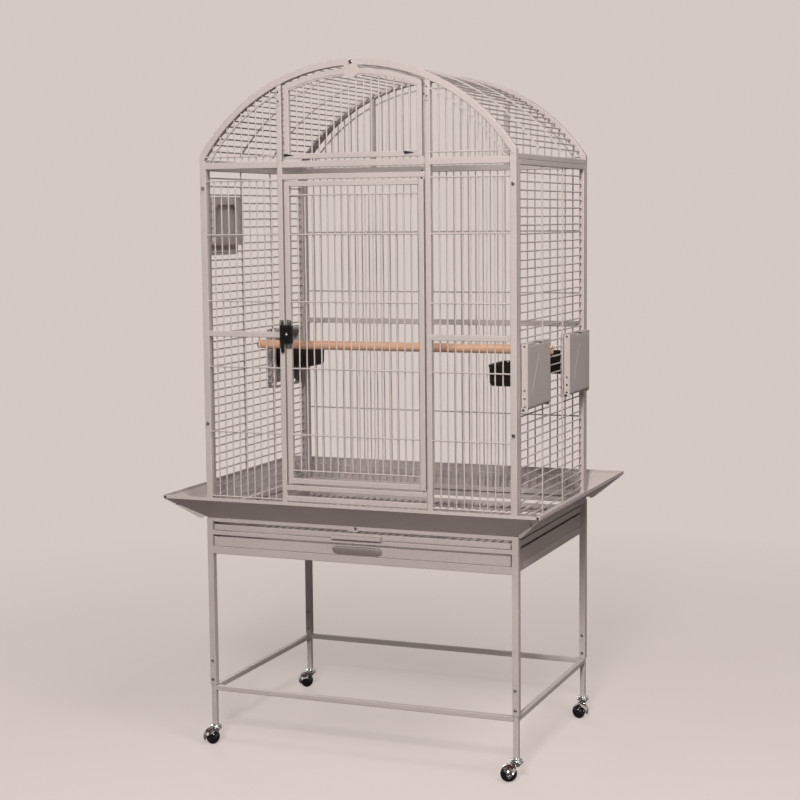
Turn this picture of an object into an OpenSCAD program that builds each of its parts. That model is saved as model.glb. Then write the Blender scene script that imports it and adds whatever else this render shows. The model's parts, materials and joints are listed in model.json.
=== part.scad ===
// Dome top parrot cage on a rolling stand, real size in millimetres, +Z up.
// The origin is on the floor under the middle of the cage; the front faces -Y.

/* [Cage body] */
// outside width of the cage over the corner posts
cage_w = 813; // [720:1:900]
// outside depth of the cage over the corner posts
cage_d = 587; // [480:1:700]
// height of the corner posts above the stand
post_h = 879; // [800:1:980]
// rise of the domed arches above their spring line
dome_rise = 218; // [160:1:300]
// square tube of the corner posts and arches
post_t = 16; // [13:0.5:20]
// square tube of the doors, rails and inner posts
slim_t = 13; // [10:0.5:16]
// wire thickness
wire_d = 3.5; // [2.5:0.1:5]
// spacing of the side and roof wires
side_pitch = 20.2; // [16:0.2:30]

/* [Front doors] */
// clear width between the two inner posts
door_bay_w = 368; // [300:1:420]
// thickness of the clear gap round the main door
door_gap = 4; // [3:0.5:6]
// height of the door sill above the foot rail
sill_up = 74; // [60:1:160]
// wires in the main door
door_wires = 16; // [10:1:18]
// wires in each panel beside the door
panel_wires = 9; // [6:1:10]
// clear gap beside the dome hatch
hatch_gap = 7; // [5:0.5:9]
// place of the hatch pivot up its stiles, as a share of their length
hatch_pivot_share = 0.895; // [0.7:0.005:0.93]

/* [Stand] */
// height of the stand top above the floor
stand_h = 590; // [480:1:700]
// height of the caster under each leg
caster_h = 58; // [52:1:70]
// square tube of the upper legs
leg_t = 16; // [14:0.5:20]
// square tube of the lower legs and stretchers
lower_t = 12.7; // [10:0.1:14]
// height of the stretchers above the floor
stretcher_z = 152; // [120:1:300]
// height of the grate front strip
grate_h = 14; // [12:0.5:18]
// height of the tray
tray_h = 24; // [22:1:40]
// width of the two drawer pulls
pull_w = 130; // [90:1:180]
// sheet thickness
sheet_t = 1.2; // [0.8:0.1:2]

/* [Seed guard] */
// outward reach of the front and back guards
guard_out_y = 76; // [50:1:100]
// outward reach of the side guards
guard_out_x = 80; // [50:1:100]
// height of the guard rim above the stand
guard_h = 63; // [45:1:80]
// height of the folded lip at the rim
guard_lip = 8; // [5:0.5:12]

/* [Feeders, perch and nest door] */
// width of a feeder door
feeder_w = 178; // [150:1:185]
// height of a feeder door
feeder_h = 159; // [140:1:165]
// depth of a feeder door's folded edges
feeder_depth = 15; // [14:0.5:20]
// width of a feed cup
cup_w = 124; // [80:1:128]
// height of a feed cup
cup_h = 52; // [45:1:56]
// reach of a feed cup into the cage
cup_in = 94; // [70:1:96]
// perch thickness
perch_d = 22; // [18:1:32]
// width of the nest box door frame
nest_w = 156; // [130:1:165]
// height of the nest box door frame
nest_h = 121; // [100:1:140]

/* [Casters] */
// wheel diameter
wheel_d = 40; // [34:1:42]
// distance from the swivel axis to the axle
trail = 19; // [15:1:22]

/* [Hidden] */
// clearances and small sizes
weld = 0.05;
run_clear = 0.05;
slide_clear = 0.3;
face_clear = 0.4;
rod_clear = 2.5;
edge_r = 1.6;
layer = wire_d + 0.1;
nugget = 2.2;
facets = 32;
fine_facets = 180;
platinum = [0.74, 0.71, 0.69];
chrome_grey = [0.8, 0.81, 0.82];
black = [0.06, 0.06, 0.06];
timber = [0.82, 0.55, 0.34];

// shares of the panel height, from the foot rail to the dome's base bar
mid_rail_share = 0.5155;
cross_pitch_share = 0.1918;
cross_top_share = 0.279;
nest_share = 0.247;
// shares of other heights: bolts on a post, cup on a feeder door, sill and hole of the nest frame
low_bolt_share = 0.266;
cup_share = 0.3455;
nest_sill_share = 0.19;
nest_hole_share = 0.645;

// heights of the cage
cage_z = stand_h + sheet_t;
arch_foot = cage_z + post_h;
half_w = cage_w / 2;
half_d = cage_d / 2;
inner_w = half_w - post_t;
inner_d = half_d - post_t;
spring = 12;
dome_r = (half_w * half_w + dome_rise * dome_rise) / (2 * dome_rise);
dome_zc = arch_foot + spring + dome_rise - dome_r;
crown_z = dome_zc + dome_r;
arch_in_r = dome_r - post_t;
wire_front_y = -half_d + slim_t / 2;
foot_rail_z = cage_z + 3;
foot_rail_top = foot_rail_z + slim_t;
base_bar_top = arch_foot - 5;
base_bar_z = base_bar_top - post_t;
panel_h = base_bar_z - foot_rail_top;
mid_rail_z = foot_rail_top + mid_rail_share * panel_h;
mid_rail_h = 14;
mid_rail_top = mid_rail_z + mid_rail_h;
bay = door_bay_w / 2;
mid_post_out = bay + slim_t;

// main door heights
header_z = base_bar_z - 28;
door_top = header_z - door_gap;
sill_top = foot_rail_top + sill_up;
door_z = sill_top + door_gap;
low_sill_top = sill_top - 27;
door_half = bay - door_gap - 0.5;
door_axis_x = door_half - slim_t / 2;
door_axis_y = -half_d + slim_t / 2;
door_bar_inset = 20;
door_pin_r = 3;
door_pin_in = 14;

// shared heights of the horizontal wires
cross_pitch = cross_pitch_share * panel_h;
cross_top = mid_rail_top + cross_top_share * panel_h;
cross_z = [for (k = [0:4]) cross_top - k * cross_pitch];

// dome hatch
hatch_half = bay - hatch_gap;
hatch_z = base_bar_top + 4.5;
hatch_r = arch_in_r - 6;
hatch_in_r = hatch_r - slim_t;
hatch_stile_top = dome_zc + sqrt(hatch_in_r * hatch_in_r - hatch_half * hatch_half);
hatch_pivot_z = hatch_z + hatch_pivot_share * (hatch_stile_top - hatch_z);
hatch_pin_r = 2.5;
hatch_pin_in = 8;

// catch disc in front of the hatch
disc_r = 20;
disc_t = 1.5;
disc_hang = 18;
disc_pivot_z = crown_z - post_t / 2;
screw_r = 2.5;
screw_head_r = 4.5;
screw_head_h = 2.2;

// door latch
latch_h = 70;
latch_z = mid_rail_z - 26;
latch_plate_t = 2;
latch_pivot_x = -door_half + slim_t / 2;
latch_pivot_z = latch_z + latch_h / 2;
lever_w = 27;
lever_h = 54;
lever_t = 9;
lever_y = -half_d - latch_plate_t - face_clear;

// side panels
side_out = half_w;
side_in = half_w - slim_t;
stile_d = inner_d - slim_t;
side_top = base_bar_z - 3;
dome_rail_z = side_top + slim_t;
side_wire_x = half_w - 7.5;
side_rod_x = side_wire_x + layer;
side_rod_y = stile_d - feeder_w - rod_clear;
side_first = side_top - 17;
side_count = floor((side_first - foot_rail_top - 8) / side_pitch) + 1;
frame_in_x = side_wire_x - wire_d / 2;
frame_out_x = side_rod_x + wire_d / 2 + 0.6;

// feeder doors
feeder_low = mid_rail_z - feeder_h - 6;
feeder_pivot_z = feeder_low + 5;
feeder_x = side_out + 0.7;
feeder_out_x = feeder_x + feeder_depth;
feeder_pivot_x = feeder_x + 4.8;
feeder_pin_r = 2;
feeder_yc = side_rod_y - 1 + feeder_w / 2;
hole_y0 = side_rod_y + wire_d / 2 + 0.6;
hole_y1 = stile_d - weld;
hole_bar = 6;
hole_side_bar = 14;
hole_z0 = feeder_low;
hole_z1 = feeder_low + feeder_h - 1;
cup_z = feeder_low + cup_share * feeder_h;
plate_up = 10;
notch_w = 60;
notch_h = 5;
cup_wall = 2.5;
cup_round = 16;
ear_t = 2;

// perch, notched at both ends on a side wire
perch_under_rail = 1.5 * perch_d;
perch_wire = round((side_first - mid_rail_z + perch_under_rail) / side_pitch);
perch_drop = 3;
perch_wire_z = side_first - perch_wire * side_pitch;
perch_z = perch_wire_z - perch_drop;
perch_end = side_wire_x + wire_d / 2 + 1.2;

// nest box door on the left side
nest_y0 = -stile_d + 18;
nest_y1 = nest_y0 + nest_w;
nest_z = mid_rail_top + nest_share * panel_h;
nest_hole_y0 = nest_y0 + 10;
nest_hole_y1 = nest_y1 - 26;
nest_hole_z = nest_z + nest_sill_share * nest_h;
nest_hole_h = nest_hole_share * nest_h;
nest_round = 26;
nest_hang = 24;
nest_axis_z = nest_hole_z + nest_hole_h + 6;
nest_axis_x = -side_out - 2.5;
nest_pin_r = 1.5;
nest_barrel_r = 3;

// stand
leg_x = half_w - 6;
leg_y = half_d - 10.5;
leg_in_x = leg_x - leg_t / 2;
leg_in_y = leg_y - leg_t / 2;
leg_front = leg_y + leg_t / 2;
upper_leg_z = stretcher_z + lower_t / 2 + 2;
top_rail_h = 12;
top_rail_z = stand_h - top_rail_h;
grate_top = top_rail_z - 6.5;
grate_z = grate_top - grate_h;
mid_bar_top = grate_z - 1.5;
mid_bar_h = 11;
tray_top = mid_bar_top - mid_bar_h - 4;
tray_z = tray_top - tray_h;
low_bar_top = tray_z - 1;
low_bar_h = 19;
ledge = 20;
drawer_half = leg_in_x - 3.5;
drawer_front = leg_front - 1.5;
drawer_back = leg_in_y - 8;
runner_x = leg_in_x + 1.5;

// drawer catch on the top rail
catch_t = 1.5;
catch_pivot_x = -2;
catch_pivot_z = stand_h - 6;

// casters: swivel angle of each one as photographed, trailing direction from +X
caster_spots = [[-1, -1, 149], [1, -1, 202], [1, 1, 260], [-1, 1, 155]];
cap_r = 16;
cap_h = 4.5;
swivel_z = caster_h - 6;
swivel_pin_r = 4;
axle_z = wheel_d / 2;
axle_r = 2.5;
wheel_w = 12;
web_w = 9;
tread_w = 2.5;
wheel_steps = 8;
strap_y = web_w / 2 + face_clear + wheel_w + 0.5;
strap_t = 1.5;
strap_half = 8;
strap_tip = 6;

// rounded square, the section of a tube
module tube_section(a, b) {
  square([a - 2 * edge_r, b], center = true);
  square([a, b - 2 * edge_r], center = true);
  for (i = [-1, 1], j = [-1, 1])
    translate([i * (a / 2 - edge_r), j * (b / 2 - edge_r)]) circle(edge_r, $fn = facets);
}

// tubes along the three axes; the ends keep a hairline weld gap
module tube_z(x0, x1, y0, y1, z0, z1)
  translate([(x0 + x1) / 2, (y0 + y1) / 2, z0 + weld])
    linear_extrude(z1 - z0 - 2 * weld) tube_section(x1 - x0, y1 - y0);

module tube_x(x0, x1, y0, y1, z0, z1)
  translate([x0 + weld, (y0 + y1) / 2, (z0 + z1) / 2]) rotate([90, 0, 90])
    linear_extrude(x1 - x0 - 2 * weld) tube_section(y1 - y0, z1 - z0);

module tube_y(x0, x1, y0, y1, z0, z1)
  translate([(x0 + x1) / 2, y1 - weld, (z0 + z1) / 2]) rotate([90, 0, 0])
    linear_extrude(y1 - y0 - 2 * weld) tube_section(x1 - x0, z1 - z0);

module box(x0, x1, y0, y1, z0, z1)
  translate([x0, y0, z0]) cube([x1 - x0, y1 - y0, z1 - z0]);

// round rods along the three axes
module rod_z(r, x, y, z0, z1) translate([x, y, z0]) cylinder(r = r, h = z1 - z0, $fn = facets);
module rod_x(r, x0, x1, y, z)
  translate([x0, y, z]) rotate([0, 90, 0]) cylinder(r = r, h = x1 - x0, $fn = facets);
module rod_y(r, x, y0, y1, z)
  translate([x, y0, z]) rotate([-90, 0, 0]) cylinder(r = r, h = y1 - y0, $fn = facets);

// flat welded grille: upright wires at xs, cross wires at zs one layer towards side
module grille(xs, zs, y, z0, z1, x0, x1, side) {
  for (x = xs) rod_z(wire_d / 2, x, y, z0 + weld, z1 - weld);
  for (z = zs) {
    rod_x(wire_d / 2, x0 + weld, x1 - weld, y + side * layer, z);
    for (x = xs)
      translate([x, y + side * layer / 2, z]) cube([nugget, layer, nugget], center = true);
  }
}

// positions of n wires spread evenly inside a bay
function spread(a, b, n) = [for (i = [1:n]) a + (b - a) * i / (n + 1)];
function within(list, a, b) = [for (z = list) if (z > a + 6 && z < b - 6) z];

// round-edged arch over the whole width, cut at the arch foot
module arch(y0)
  intersection() {
    translate([0, y0 + post_t / 2, dome_zc]) rotate([90, 0, 0])
      rotate_extrude($fn = fine_facets) translate([dome_r - post_t / 2, 0]) tube_section(post_t, post_t);
    box(-half_w, half_w, y0 - 1, y0 + post_t + 1, arch_foot + weld, crown_z + 1);
  }

// space under an arch, to trim what stands in it
module under_arch(r, y0, y1) {
  translate([0, y1, dome_zc]) rotate([90, 0, 0]) cylinder(r = r - weld, h = y1 - y0, $fn = fine_facets);
  box(-r + weld, r - weld, y0, y1, 0, dome_zc);
}

module round_screw(head_r, head_h, r, shank)
  rotate([90, 0, 0]) {
    cylinder(r = r, h = shank, $fn = facets);
    translate([0, 0, shank]) cylinder(r = head_r, h = head_h, $fn = facets);
  }

// front and back arches
module dome_arches() color(platinum)
  for (y = [-half_d, half_d - post_t]) arch(y);

// front panel
module panel_posts(y0)
  for (s = [-1, 1])
    tube_z(s * half_w - (s > 0 ? post_t : 0), s * half_w + (s > 0 ? 0 : post_t), y0, y0 + post_t,
      cage_z, arch_foot);

module front_frame() color(platinum) {
  y0 = -half_d;
  y1 = y0 + slim_t;
  panel_posts(y0);
  tube_x(-inner_w, inner_w, y0, y1, foot_rail_z, foot_rail_top);
  for (s = [-1, 1]) {
    intersection() {
      tube_z(s > 0 ? bay : -mid_post_out, s > 0 ? mid_post_out : -bay, y0, y1, foot_rail_top, crown_z);
      under_arch(arch_in_r, y0 - 1, y1 + 1);
    }
    a = s > 0 ? mid_post_out : -inner_w;
    b = s > 0 ? inner_w : -mid_post_out;
    tube_x(a, b, y0, y1, base_bar_z, base_bar_top);
    tube_x(a, b, y0, y1, mid_rail_z, mid_rail_top);
  }
  tube_x(-bay, bay, y0, y1, base_bar_z, base_bar_top);
  tube_x(-bay, bay, y0, y1, header_z, header_z + slim_t);
  tube_x(-bay, bay, y0, y1, sill_top - slim_t, sill_top);
  tube_x(-bay, bay, y0, y1, low_sill_top - slim_t, low_sill_top);
}

module front_side_bars(a, b) {
  xs = spread(a, b, panel_wires);
  top_cross = base_bar_z - 29;
  grille(xs, within(cross_z, foot_rail_top, mid_rail_z), wire_front_y, foot_rail_top, mid_rail_z, a, b, -1);
  grille(xs, concat(within(cross_z, mid_rail_top, base_bar_z), [top_cross]), wire_front_y,
    mid_rail_top, top_cross + wire_d / 2, a, b, -1);
}

module front_left_bars() color(platinum) front_side_bars(-inner_w, -mid_post_out);
module front_right_bars() color(platinum) front_side_bars(mid_post_out, inner_w);

// wire that follows the arch at radius r, welded to the uprights at xs
module arc_wire(xs, r, y, x0, x1, side) {
  intersection() {
    translate([0, y + side * layer + wire_d / 2, dome_zc]) rotate([90, 0, 0]) linear_extrude(wire_d)
      difference() {
        circle(r + wire_d / 2, $fn = fine_facets);
        circle(r - wire_d / 2, $fn = fine_facets);
      }
    box(x0 + weld, x1 - weld, y - 2 * layer, y + 2 * layer, base_bar_top + weld, crown_z);
  }
  for (x = xs)
    if (abs(x) < r && dome_zc + sqrt(r * r - x * x) > base_bar_top + wire_d)
      translate([x, y + side * layer / 2, dome_zc + sqrt(r * r - x * x)])
        cube([nugget, layer, nugget], center = true);
}

dome_arc_r = arch_in_r - 15;
dome_cross = base_bar_top + 13;

module dome_bars(a, b, n, y, side) {
  xs = spread(a, b, n);
  intersection() {
    grille(xs, [dome_cross], y, base_bar_top, crown_z, a, b, side);
    under_arch(arch_in_r, y - 9, y + 9);
  }
  arc_wire(xs, dome_arc_r, y, a, b, side);
}

module front_dome_bars() color(platinum) {
  dome_bars(-inner_w, -mid_post_out, panel_wires, wire_front_y, -1);
  dome_bars(mid_post_out, inner_w, panel_wires, wire_front_y, -1);
}

// back panel
back_y = half_d - post_t;
back_wires = 2 * panel_wires + door_wires + 3;

module back_frame() color(platinum) {
  y1 = half_d;
  panel_posts(back_y);
  for (z = [[foot_rail_z, foot_rail_top], [mid_rail_z, mid_rail_top], [base_bar_z, base_bar_top]])
    tube_x(-inner_w, inner_w, y1 - slim_t, y1, z[0], z[1]);
  for (s = [-1, 1])
    intersection() {
      tube_z(s > 0 ? bay : -mid_post_out, s > 0 ? mid_post_out : -bay, y1 - slim_t, y1,
        base_bar_top, crown_z);
      under_arch(arch_in_r, y1 - slim_t - 1, y1 + 1);
    }
}

module back_bars() color(platinum) {
  y = half_d - slim_t / 2;
  xs = spread(-inner_w, inner_w, back_wires);
  grille(xs, within(cross_z, foot_rail_top, mid_rail_z), y, foot_rail_top, mid_rail_z,
    -inner_w, inner_w, 1);
  grille(xs, within(cross_z, mid_rail_top, base_bar_z), y, mid_rail_top, base_bar_z,
    -inner_w, inner_w, 1);
  dome_bars(-inner_w, -mid_post_out, panel_wires, y, 1);
  dome_bars(-bay, bay, door_wires + 1, y, 1);
  dome_bars(mid_post_out, inner_w, panel_wires, y, 1);
}

// side panels, drawn for the right and mirrored for the left
module side_frame() {
  for (s = [-1, 1])
    tube_z(side_in, side_out, s > 0 ? stile_d : -inner_d, s > 0 ? inner_d : -stile_d, cage_z, dome_rail_z);
  tube_y(side_in, side_out, -stile_d, stile_d, side_top, dome_rail_z);
  tube_y(side_in, side_out, -stile_d, stile_d, foot_rail_z, foot_rail_top);
}

module feeder_hole(s)
  mirror([0, s > 0 ? 0 : 1, 0])
    box(frame_in_x - 1, frame_out_x + 1, hole_y0 - weld, stile_d + 1, hole_z0 - weld, hole_z1 + weld);

module side_wires()
  for (k = [0:side_count - 1]) {
    z = side_first - k * side_pitch;
    rod_y(wire_d / 2, side_wire_x, -stile_d + weld, stile_d - weld, z);
    for (s = [-1, 1])
      translate([side_wire_x + layer / 2, s * side_rod_y, z]) cube([layer, nugget, nugget], center = true);
  }

module side_rods()
  for (s = [-1, 1])
    rod_z(wire_d / 2, side_rod_x, s * side_rod_y, foot_rail_top + weld, side_top - weld);

// the upright rods are jointed half way between two wires, level with the edges of each hole
function joint_z(edge) = side_first - (floor((side_first - edge) / side_pitch) + 0.5) * side_pitch;

module rod_joints(edges)
  for (e = edges)
    box(frame_in_x - 1, frame_out_x + 1, -stile_d, stile_d, joint_z(e) - weld, joint_z(e) + weld);

module left_frame() color(platinum) mirror([1, 0, 0]) side_frame();
module right_frame() color(platinum) side_frame();

module right_bars() color(platinum) difference() {
  union() {
    side_wires();
    side_rods();
  }
  for (s = [-1, 1]) feeder_hole(s);
  rod_joints([hole_z0, hole_z1]);
}

module left_bars() color(platinum) mirror([1, 0, 0]) {
  short_y = (nest_y0 - stile_d) / 2;
  rod_low = floor((side_first - nest_z) / side_pitch);
  rod_high = floor((side_first - nest_z - nest_h) / side_pitch) + 1;
  difference() {
    union() {
      side_wires();
      side_rods();
    }
    feeder_hole(1);
    box(frame_in_x - 1, frame_out_x + 1, nest_y0 - weld, nest_y1 + weld,
      nest_z - weld, nest_z + nest_h + weld);
    rod_joints([hole_z0, hole_z1, nest_z, nest_z + nest_h]);
  }
  rod_z(wire_d / 2, side_rod_x, short_y, side_first - rod_low * side_pitch - 3,
    side_first - rod_high * side_pitch + 3);
  for (k = [rod_high:rod_low])
    translate([side_wire_x + layer / 2, short_y, side_first - k * side_pitch])
      cube([layer, nugget, nugget], center = true);
}

// roof: wires along the depth in arc sectors, with two ribs on top
roof_sectors = 6;
roof_r = dome_r - post_t / 2;
roof_half = asin((side_in + 1) / roof_r);
sector_wires = round(2 * roof_half * PI / 180 * roof_r / side_pitch / roof_sectors);
roof_step = 2 * roof_half / (roof_sectors * sector_wires);
rib_y = 92;

module roof_rails() color(platinum)
  for (s = [-1, 1])
    tube_y(s > 0 ? side_in : -side_out, s > 0 ? side_out : -side_in, -inner_d, inner_d,
      dome_rail_z, dome_rail_z + slim_t);

module rib_arc(a0, a1, y)
  translate([0, y + wire_d / 2, dome_zc]) rotate([90, 0, 0]) linear_extrude(wire_d)
    intersection() {
      difference() {
        circle(roof_r + layer + wire_d / 2, $fn = fine_facets);
        circle(roof_r + layer - wire_d / 2, $fn = fine_facets);
      }
      polygon([[0, 0], 2 * dome_r * [sin(a0), cos(a0)], 2 * dome_r * [sin(a1), cos(a1)]]);
    }

module roof_bars() color(platinum)
  for (s = [0:roof_sectors - 1]) {
    first = -roof_half + s * sector_wires * roof_step;
    hair = 0.01;
    for (k = [0:sector_wires - 1]) {
      a = first + (k + 0.5) * roof_step;
      rod_y(wire_d / 2, roof_r * sin(a), -inner_d + weld, inner_d - weld, dome_zc + roof_r * cos(a));
      for (y = [-rib_y, rib_y])
        translate([0, y, dome_zc]) rotate([0, a, 0]) translate([0, 0, roof_r + layer / 2])
          cube([nugget, nugget, layer], center = true);
    }
    for (y = [-rib_y, rib_y]) rib_arc(first + hair, first + sector_wires * roof_step - hair, y);
  }

// bolts through the corner posts into the side panels
bolt_r = 4.5;
bolt_h = 3.2;
top_bolt_drop = 67;
module panel_bolts() color(chrome_grey)
  for (x = [-half_w + post_t / 2, half_w - post_t / 2],
    z = [arch_foot - top_bolt_drop, cage_z + low_bolt_share * post_h]) {
    translate([x, -half_d, z]) rotate([90, 0, 0]) cylinder(r = bolt_r, h = bolt_h, $fn = facets);
    translate([x, half_d, z]) rotate([-90, 0, 0]) cylinder(r = bolt_r, h = bolt_h, $fn = facets);
  }

// main door, hung on two pins in its right stile
module door_frame() color(platinum) {
  y0 = -half_d;
  y1 = y0 + slim_t;
  difference() {
    union()
      for (s = [-1, 1])
        tube_z(s > 0 ? door_half - slim_t : -door_half, s > 0 ? door_half : -door_half + slim_t,
          y0, y1, door_z, door_top);
    for (z = [door_z - 1, door_top - door_pin_in - 1])
      rod_z(door_pin_r + run_clear, door_axis_x, door_axis_y, z, z + door_pin_in + 2);
  }
  for (z = [door_z, door_top - slim_t])
    tube_x(-door_half + slim_t, door_half - slim_t, y0, y1, z, z + slim_t);
}

module door_bars() color(platinum) {
  a = -door_half + slim_t;
  low = door_z + slim_t + door_bar_inset;
  high = door_top - slim_t - door_bar_inset;
  grille(spread(a, -a, door_wires), concat([low, high], within(cross_z, low, high)),
    wire_front_y, low - wire_d / 2, high + wire_d / 2, a, -a, -1);
}

// hinge pins of the main door and of the hatch above it
module door_pins() color(chrome_grey) {
  rod_z(door_pin_r, door_axis_x, door_axis_y, door_top - door_pin_in + 1, header_z - weld);
  rod_z(door_pin_r, door_axis_x, door_axis_y, sill_top + weld, door_z + door_pin_in - 1);
  rod_z(door_pin_r + 1, door_axis_x, door_axis_y, header_z + slim_t, header_z + slim_t + 4);
  for (s = [0, 1])
    mirror([s, 0, 0]) rod_x(hatch_pin_r, hatch_half - hatch_pin_in, bay - weld, door_axis_y, hatch_pivot_z);
}

// door latch: plate on the door, keeper on the post, turning lever
module latch_plate() color(chrome_grey) {
  box(-door_half, -door_half + slim_t + 3, -half_d - latch_plate_t, -half_d, latch_z, latch_z + latch_h);
  translate([latch_pivot_x, -half_d - latch_plate_t / 2, latch_pivot_z])
    round_screw(screw_head_r - 1, screw_head_h, screw_r - run_clear,
      latch_plate_t / 2 + 2 * face_clear + lever_t);
}

module latch_keeper() color(chrome_grey)
  box(-mid_post_out + 0.5, -bay - 0.5, -half_d - latch_plate_t, -half_d, latch_z, latch_z + latch_h);

module latch_lever() color(black) {
  x0 = latch_pivot_x - lever_w + 7;
  y0 = lever_y - lever_t;
  z0 = latch_pivot_z - lever_h / 2;
  difference() {
    union() {
      tube_z(x0, x0 + lever_w, y0, lever_y, z0, z0 + lever_h);
      box(x0 + 3, x0 + 11, y0 + 2, lever_y - 2, z0 - 18, z0 + 4);
    }
    rod_y(screw_r, latch_pivot_x, y0 - 1, lever_y + 1, latch_pivot_z);
  }
}

// dome hatch, hung on two pins near the top of its stiles
module hatch_frame() color(platinum) {
  y0 = -half_d;
  y1 = y0 + slim_t;
  translate([0, y1, dome_zc]) rotate([90, 0, 0]) linear_extrude(slim_t) intersection() {
    difference() {
      circle(hatch_r, $fn = fine_facets);
      circle(hatch_in_r, $fn = fine_facets);
    }
    translate([-hatch_half, 0]) square([2 * hatch_half, dome_r]);
  }
  difference() {
    for (s = [-1, 1])
      intersection() {
        tube_z(s > 0 ? hatch_half - slim_t : -hatch_half, s > 0 ? hatch_half : -hatch_half + slim_t,
          y0, y1, hatch_z, crown_z);
        under_arch(hatch_in_r, y0 - 1, y1 + 1);
      }
    for (s = [-1, 1])
      translate([s * hatch_half, 0, 0])
        rod_x(hatch_pin_r + run_clear, -hatch_pin_in - 1, hatch_pin_in + 1, door_axis_y, hatch_pivot_z);
  }
  tube_x(-hatch_half + slim_t, hatch_half - slim_t, y0, y1, hatch_z, hatch_z + slim_t);
}

module hatch_bars() color(platinum) {
  a = -hatch_half + slim_t;
  low = hatch_z + slim_t;
  xs = spread(a, -a, door_wires);
  intersection() {
    grille(xs, [], wire_front_y, low, crown_z, a, -a, -1);
    under_arch(hatch_in_r, -half_d, -half_d + slim_t);
  }
  arc_wire(xs, hatch_in_r - wire_d / 2 - 0.4, wire_front_y, a, -a, -1);
}

// plain catch disc that hangs on a screw in the arch
module catch_disc() color(platinum)
  translate([0, -half_d - face_clear, disc_pivot_z]) rotate([90, 0, 0]) difference() {
    translate([0, -disc_hang, 0]) cylinder(r = disc_r, h = disc_t, $fn = 64);
    translate([0, 0, -1]) cylinder(r = screw_r, h = disc_t + 2, $fn = facets);
  }

// pivot screws of the catch disc and of the drawer catch
module pivot_screws() color(chrome_grey) {
  translate([0, -half_d, disc_pivot_z])
    round_screw(screw_head_r, screw_head_h, screw_r - run_clear, disc_t + 2 * face_clear);
  translate([catch_pivot_x, -leg_front, catch_pivot_z])
    round_screw(screw_head_r - 1, screw_head_h, screw_r - run_clear, catch_t + 2 * face_clear);
}

// feeder doors: frames in the side panels, tilting pans and cups
function feeder_y(s) = s * feeder_yc;
flange_y = feeder_w / 2;
flange_holes = [feeder_low + 13, feeder_low + 32, feeder_low + 51, feeder_low + feeder_h - 6];

module feeder_frame(s) {
  y0 = min(s * hole_y0, s * hole_y1);
  y1 = max(s * hole_y0, s * hole_y1);
  in0 = s > 0 ? y0 + hole_bar : y0 + hole_side_bar;
  in1 = s > 0 ? y1 - hole_side_bar : y1 - hole_bar;
  box(frame_in_x, frame_out_x, y0, in0 - weld, hole_z0, hole_z1);
  box(frame_in_x, frame_out_x, in1 + weld, y1, hole_z0, hole_z1);
  box(frame_in_x, frame_out_x, in0, in1, hole_z0, hole_z0 + hole_bar);
  box(frame_in_x, frame_out_x, in0, in1, hole_z1 - hole_bar, hole_z1);
  for (e = [-1, 1]) {
    face = feeder_y(s) + e * (flange_y - sheet_t - face_clear);
    box(frame_out_x + weld, feeder_pivot_x + 4, min(face, face - e * ear_t), max(face, face - e * ear_t),
      feeder_pivot_z - 4, feeder_pivot_z + 4);
  }
}

module feeder_frames() color(platinum) {
  for (s = [-1, 1]) feeder_frame(s);
  mirror([1, 0, 0]) feeder_frame(1);
}

module feeder_pin_pair(s)
  for (e = [-1, 1])
    translate([feeder_pivot_x, feeder_y(s) + e * (flange_y - sheet_t - face_clear), feeder_pivot_z])
      rotate([0, 0, e > 0 ? 180 : 0])
        round_screw(feeder_pin_r + 1.5, 1.6, feeder_pin_r, sheet_t + 2 * face_clear);

// side edge of the pan, rounded about its pivot
module feeder_flange()
  difference() {
    union() {
      translate([feeder_x, feeder_pivot_z]) square([feeder_depth, feeder_h - 5]);
      translate([feeder_pivot_x, feeder_low]) square([feeder_out_x - feeder_pivot_x, 6]);
      translate([feeder_pivot_x, feeder_pivot_z]) circle(feeder_pivot_x - feeder_x, $fn = facets);
    }
    translate([feeder_pivot_x, feeder_pivot_z]) circle(feeder_pin_r + run_clear, $fn = facets);
  }

module feeder_door(s) {
  yc = feeder_y(s);
  top = feeder_low + feeder_h;
  difference() {
    union() {
      for (y = [yc - flange_y, yc + flange_y - sheet_t])
        translate([0, y + sheet_t, 0]) rotate([90, 0, 0]) linear_extrude(sheet_t) feeder_flange();
      box(feeder_out_x - sheet_t, feeder_out_x, yc - flange_y, yc + flange_y, feeder_low + plate_up, top);
      box(feeder_x + 3, feeder_out_x, yc - flange_y, yc + flange_y, top - sheet_t, top);
    }
    box(feeder_x, feeder_out_x + 1, yc - notch_w / 2, yc + notch_w / 2, top - notch_h, top + 1);
    for (z = flange_holes)
      rod_y(1.8, feeder_x + feeder_depth / 2, yc - flange_y - 1, yc - flange_y + 3, z);
  }
}

module feeder_door_front_right() color(platinum) feeder_door(-1);
module feeder_door_rear_right() color(platinum) feeder_door(1);
module feeder_door_rear_left() color(platinum) mirror([1, 0, 0]) feeder_door(1);

module round_plan(x0, x1, y0, y1, r) {
  translate([x0 + r, y0]) square([x1 - x0 - 2 * r, y1 - y0]);
  translate([x0, y0 + r]) square([x1 - x0, y1 - y0 - 2 * r]);
  for (x = [x0 + r, x1 - r], y = [y0 + r, y1 - r]) translate([x, y]) circle(r, $fn = facets);
}

module cup(s) {
  x0 = side_out - cup_in;
  x1 = feeder_out_x - sheet_t - weld;
  yc = s * (hole_y0 + hole_bar + hole_y1 - hole_side_bar) / 2;
  difference() {
    translate([0, 0, cup_z]) linear_extrude(cup_h)
      round_plan(x0, x1, yc - cup_w / 2, yc + cup_w / 2, cup_round);
    translate([0, 0, cup_z + cup_wall]) linear_extrude(cup_h)
      round_plan(x0 + cup_wall, x1 - cup_wall, yc - cup_w / 2 + cup_wall, yc + cup_w / 2 - cup_wall,
        cup_round - cup_wall);
  }
}

module cup_front_right() color(black) cup(-1);
module cup_rear_right() color(black) cup(1);
module cup_rear_left() color(black) mirror([1, 0, 0]) cup(1);

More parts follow.
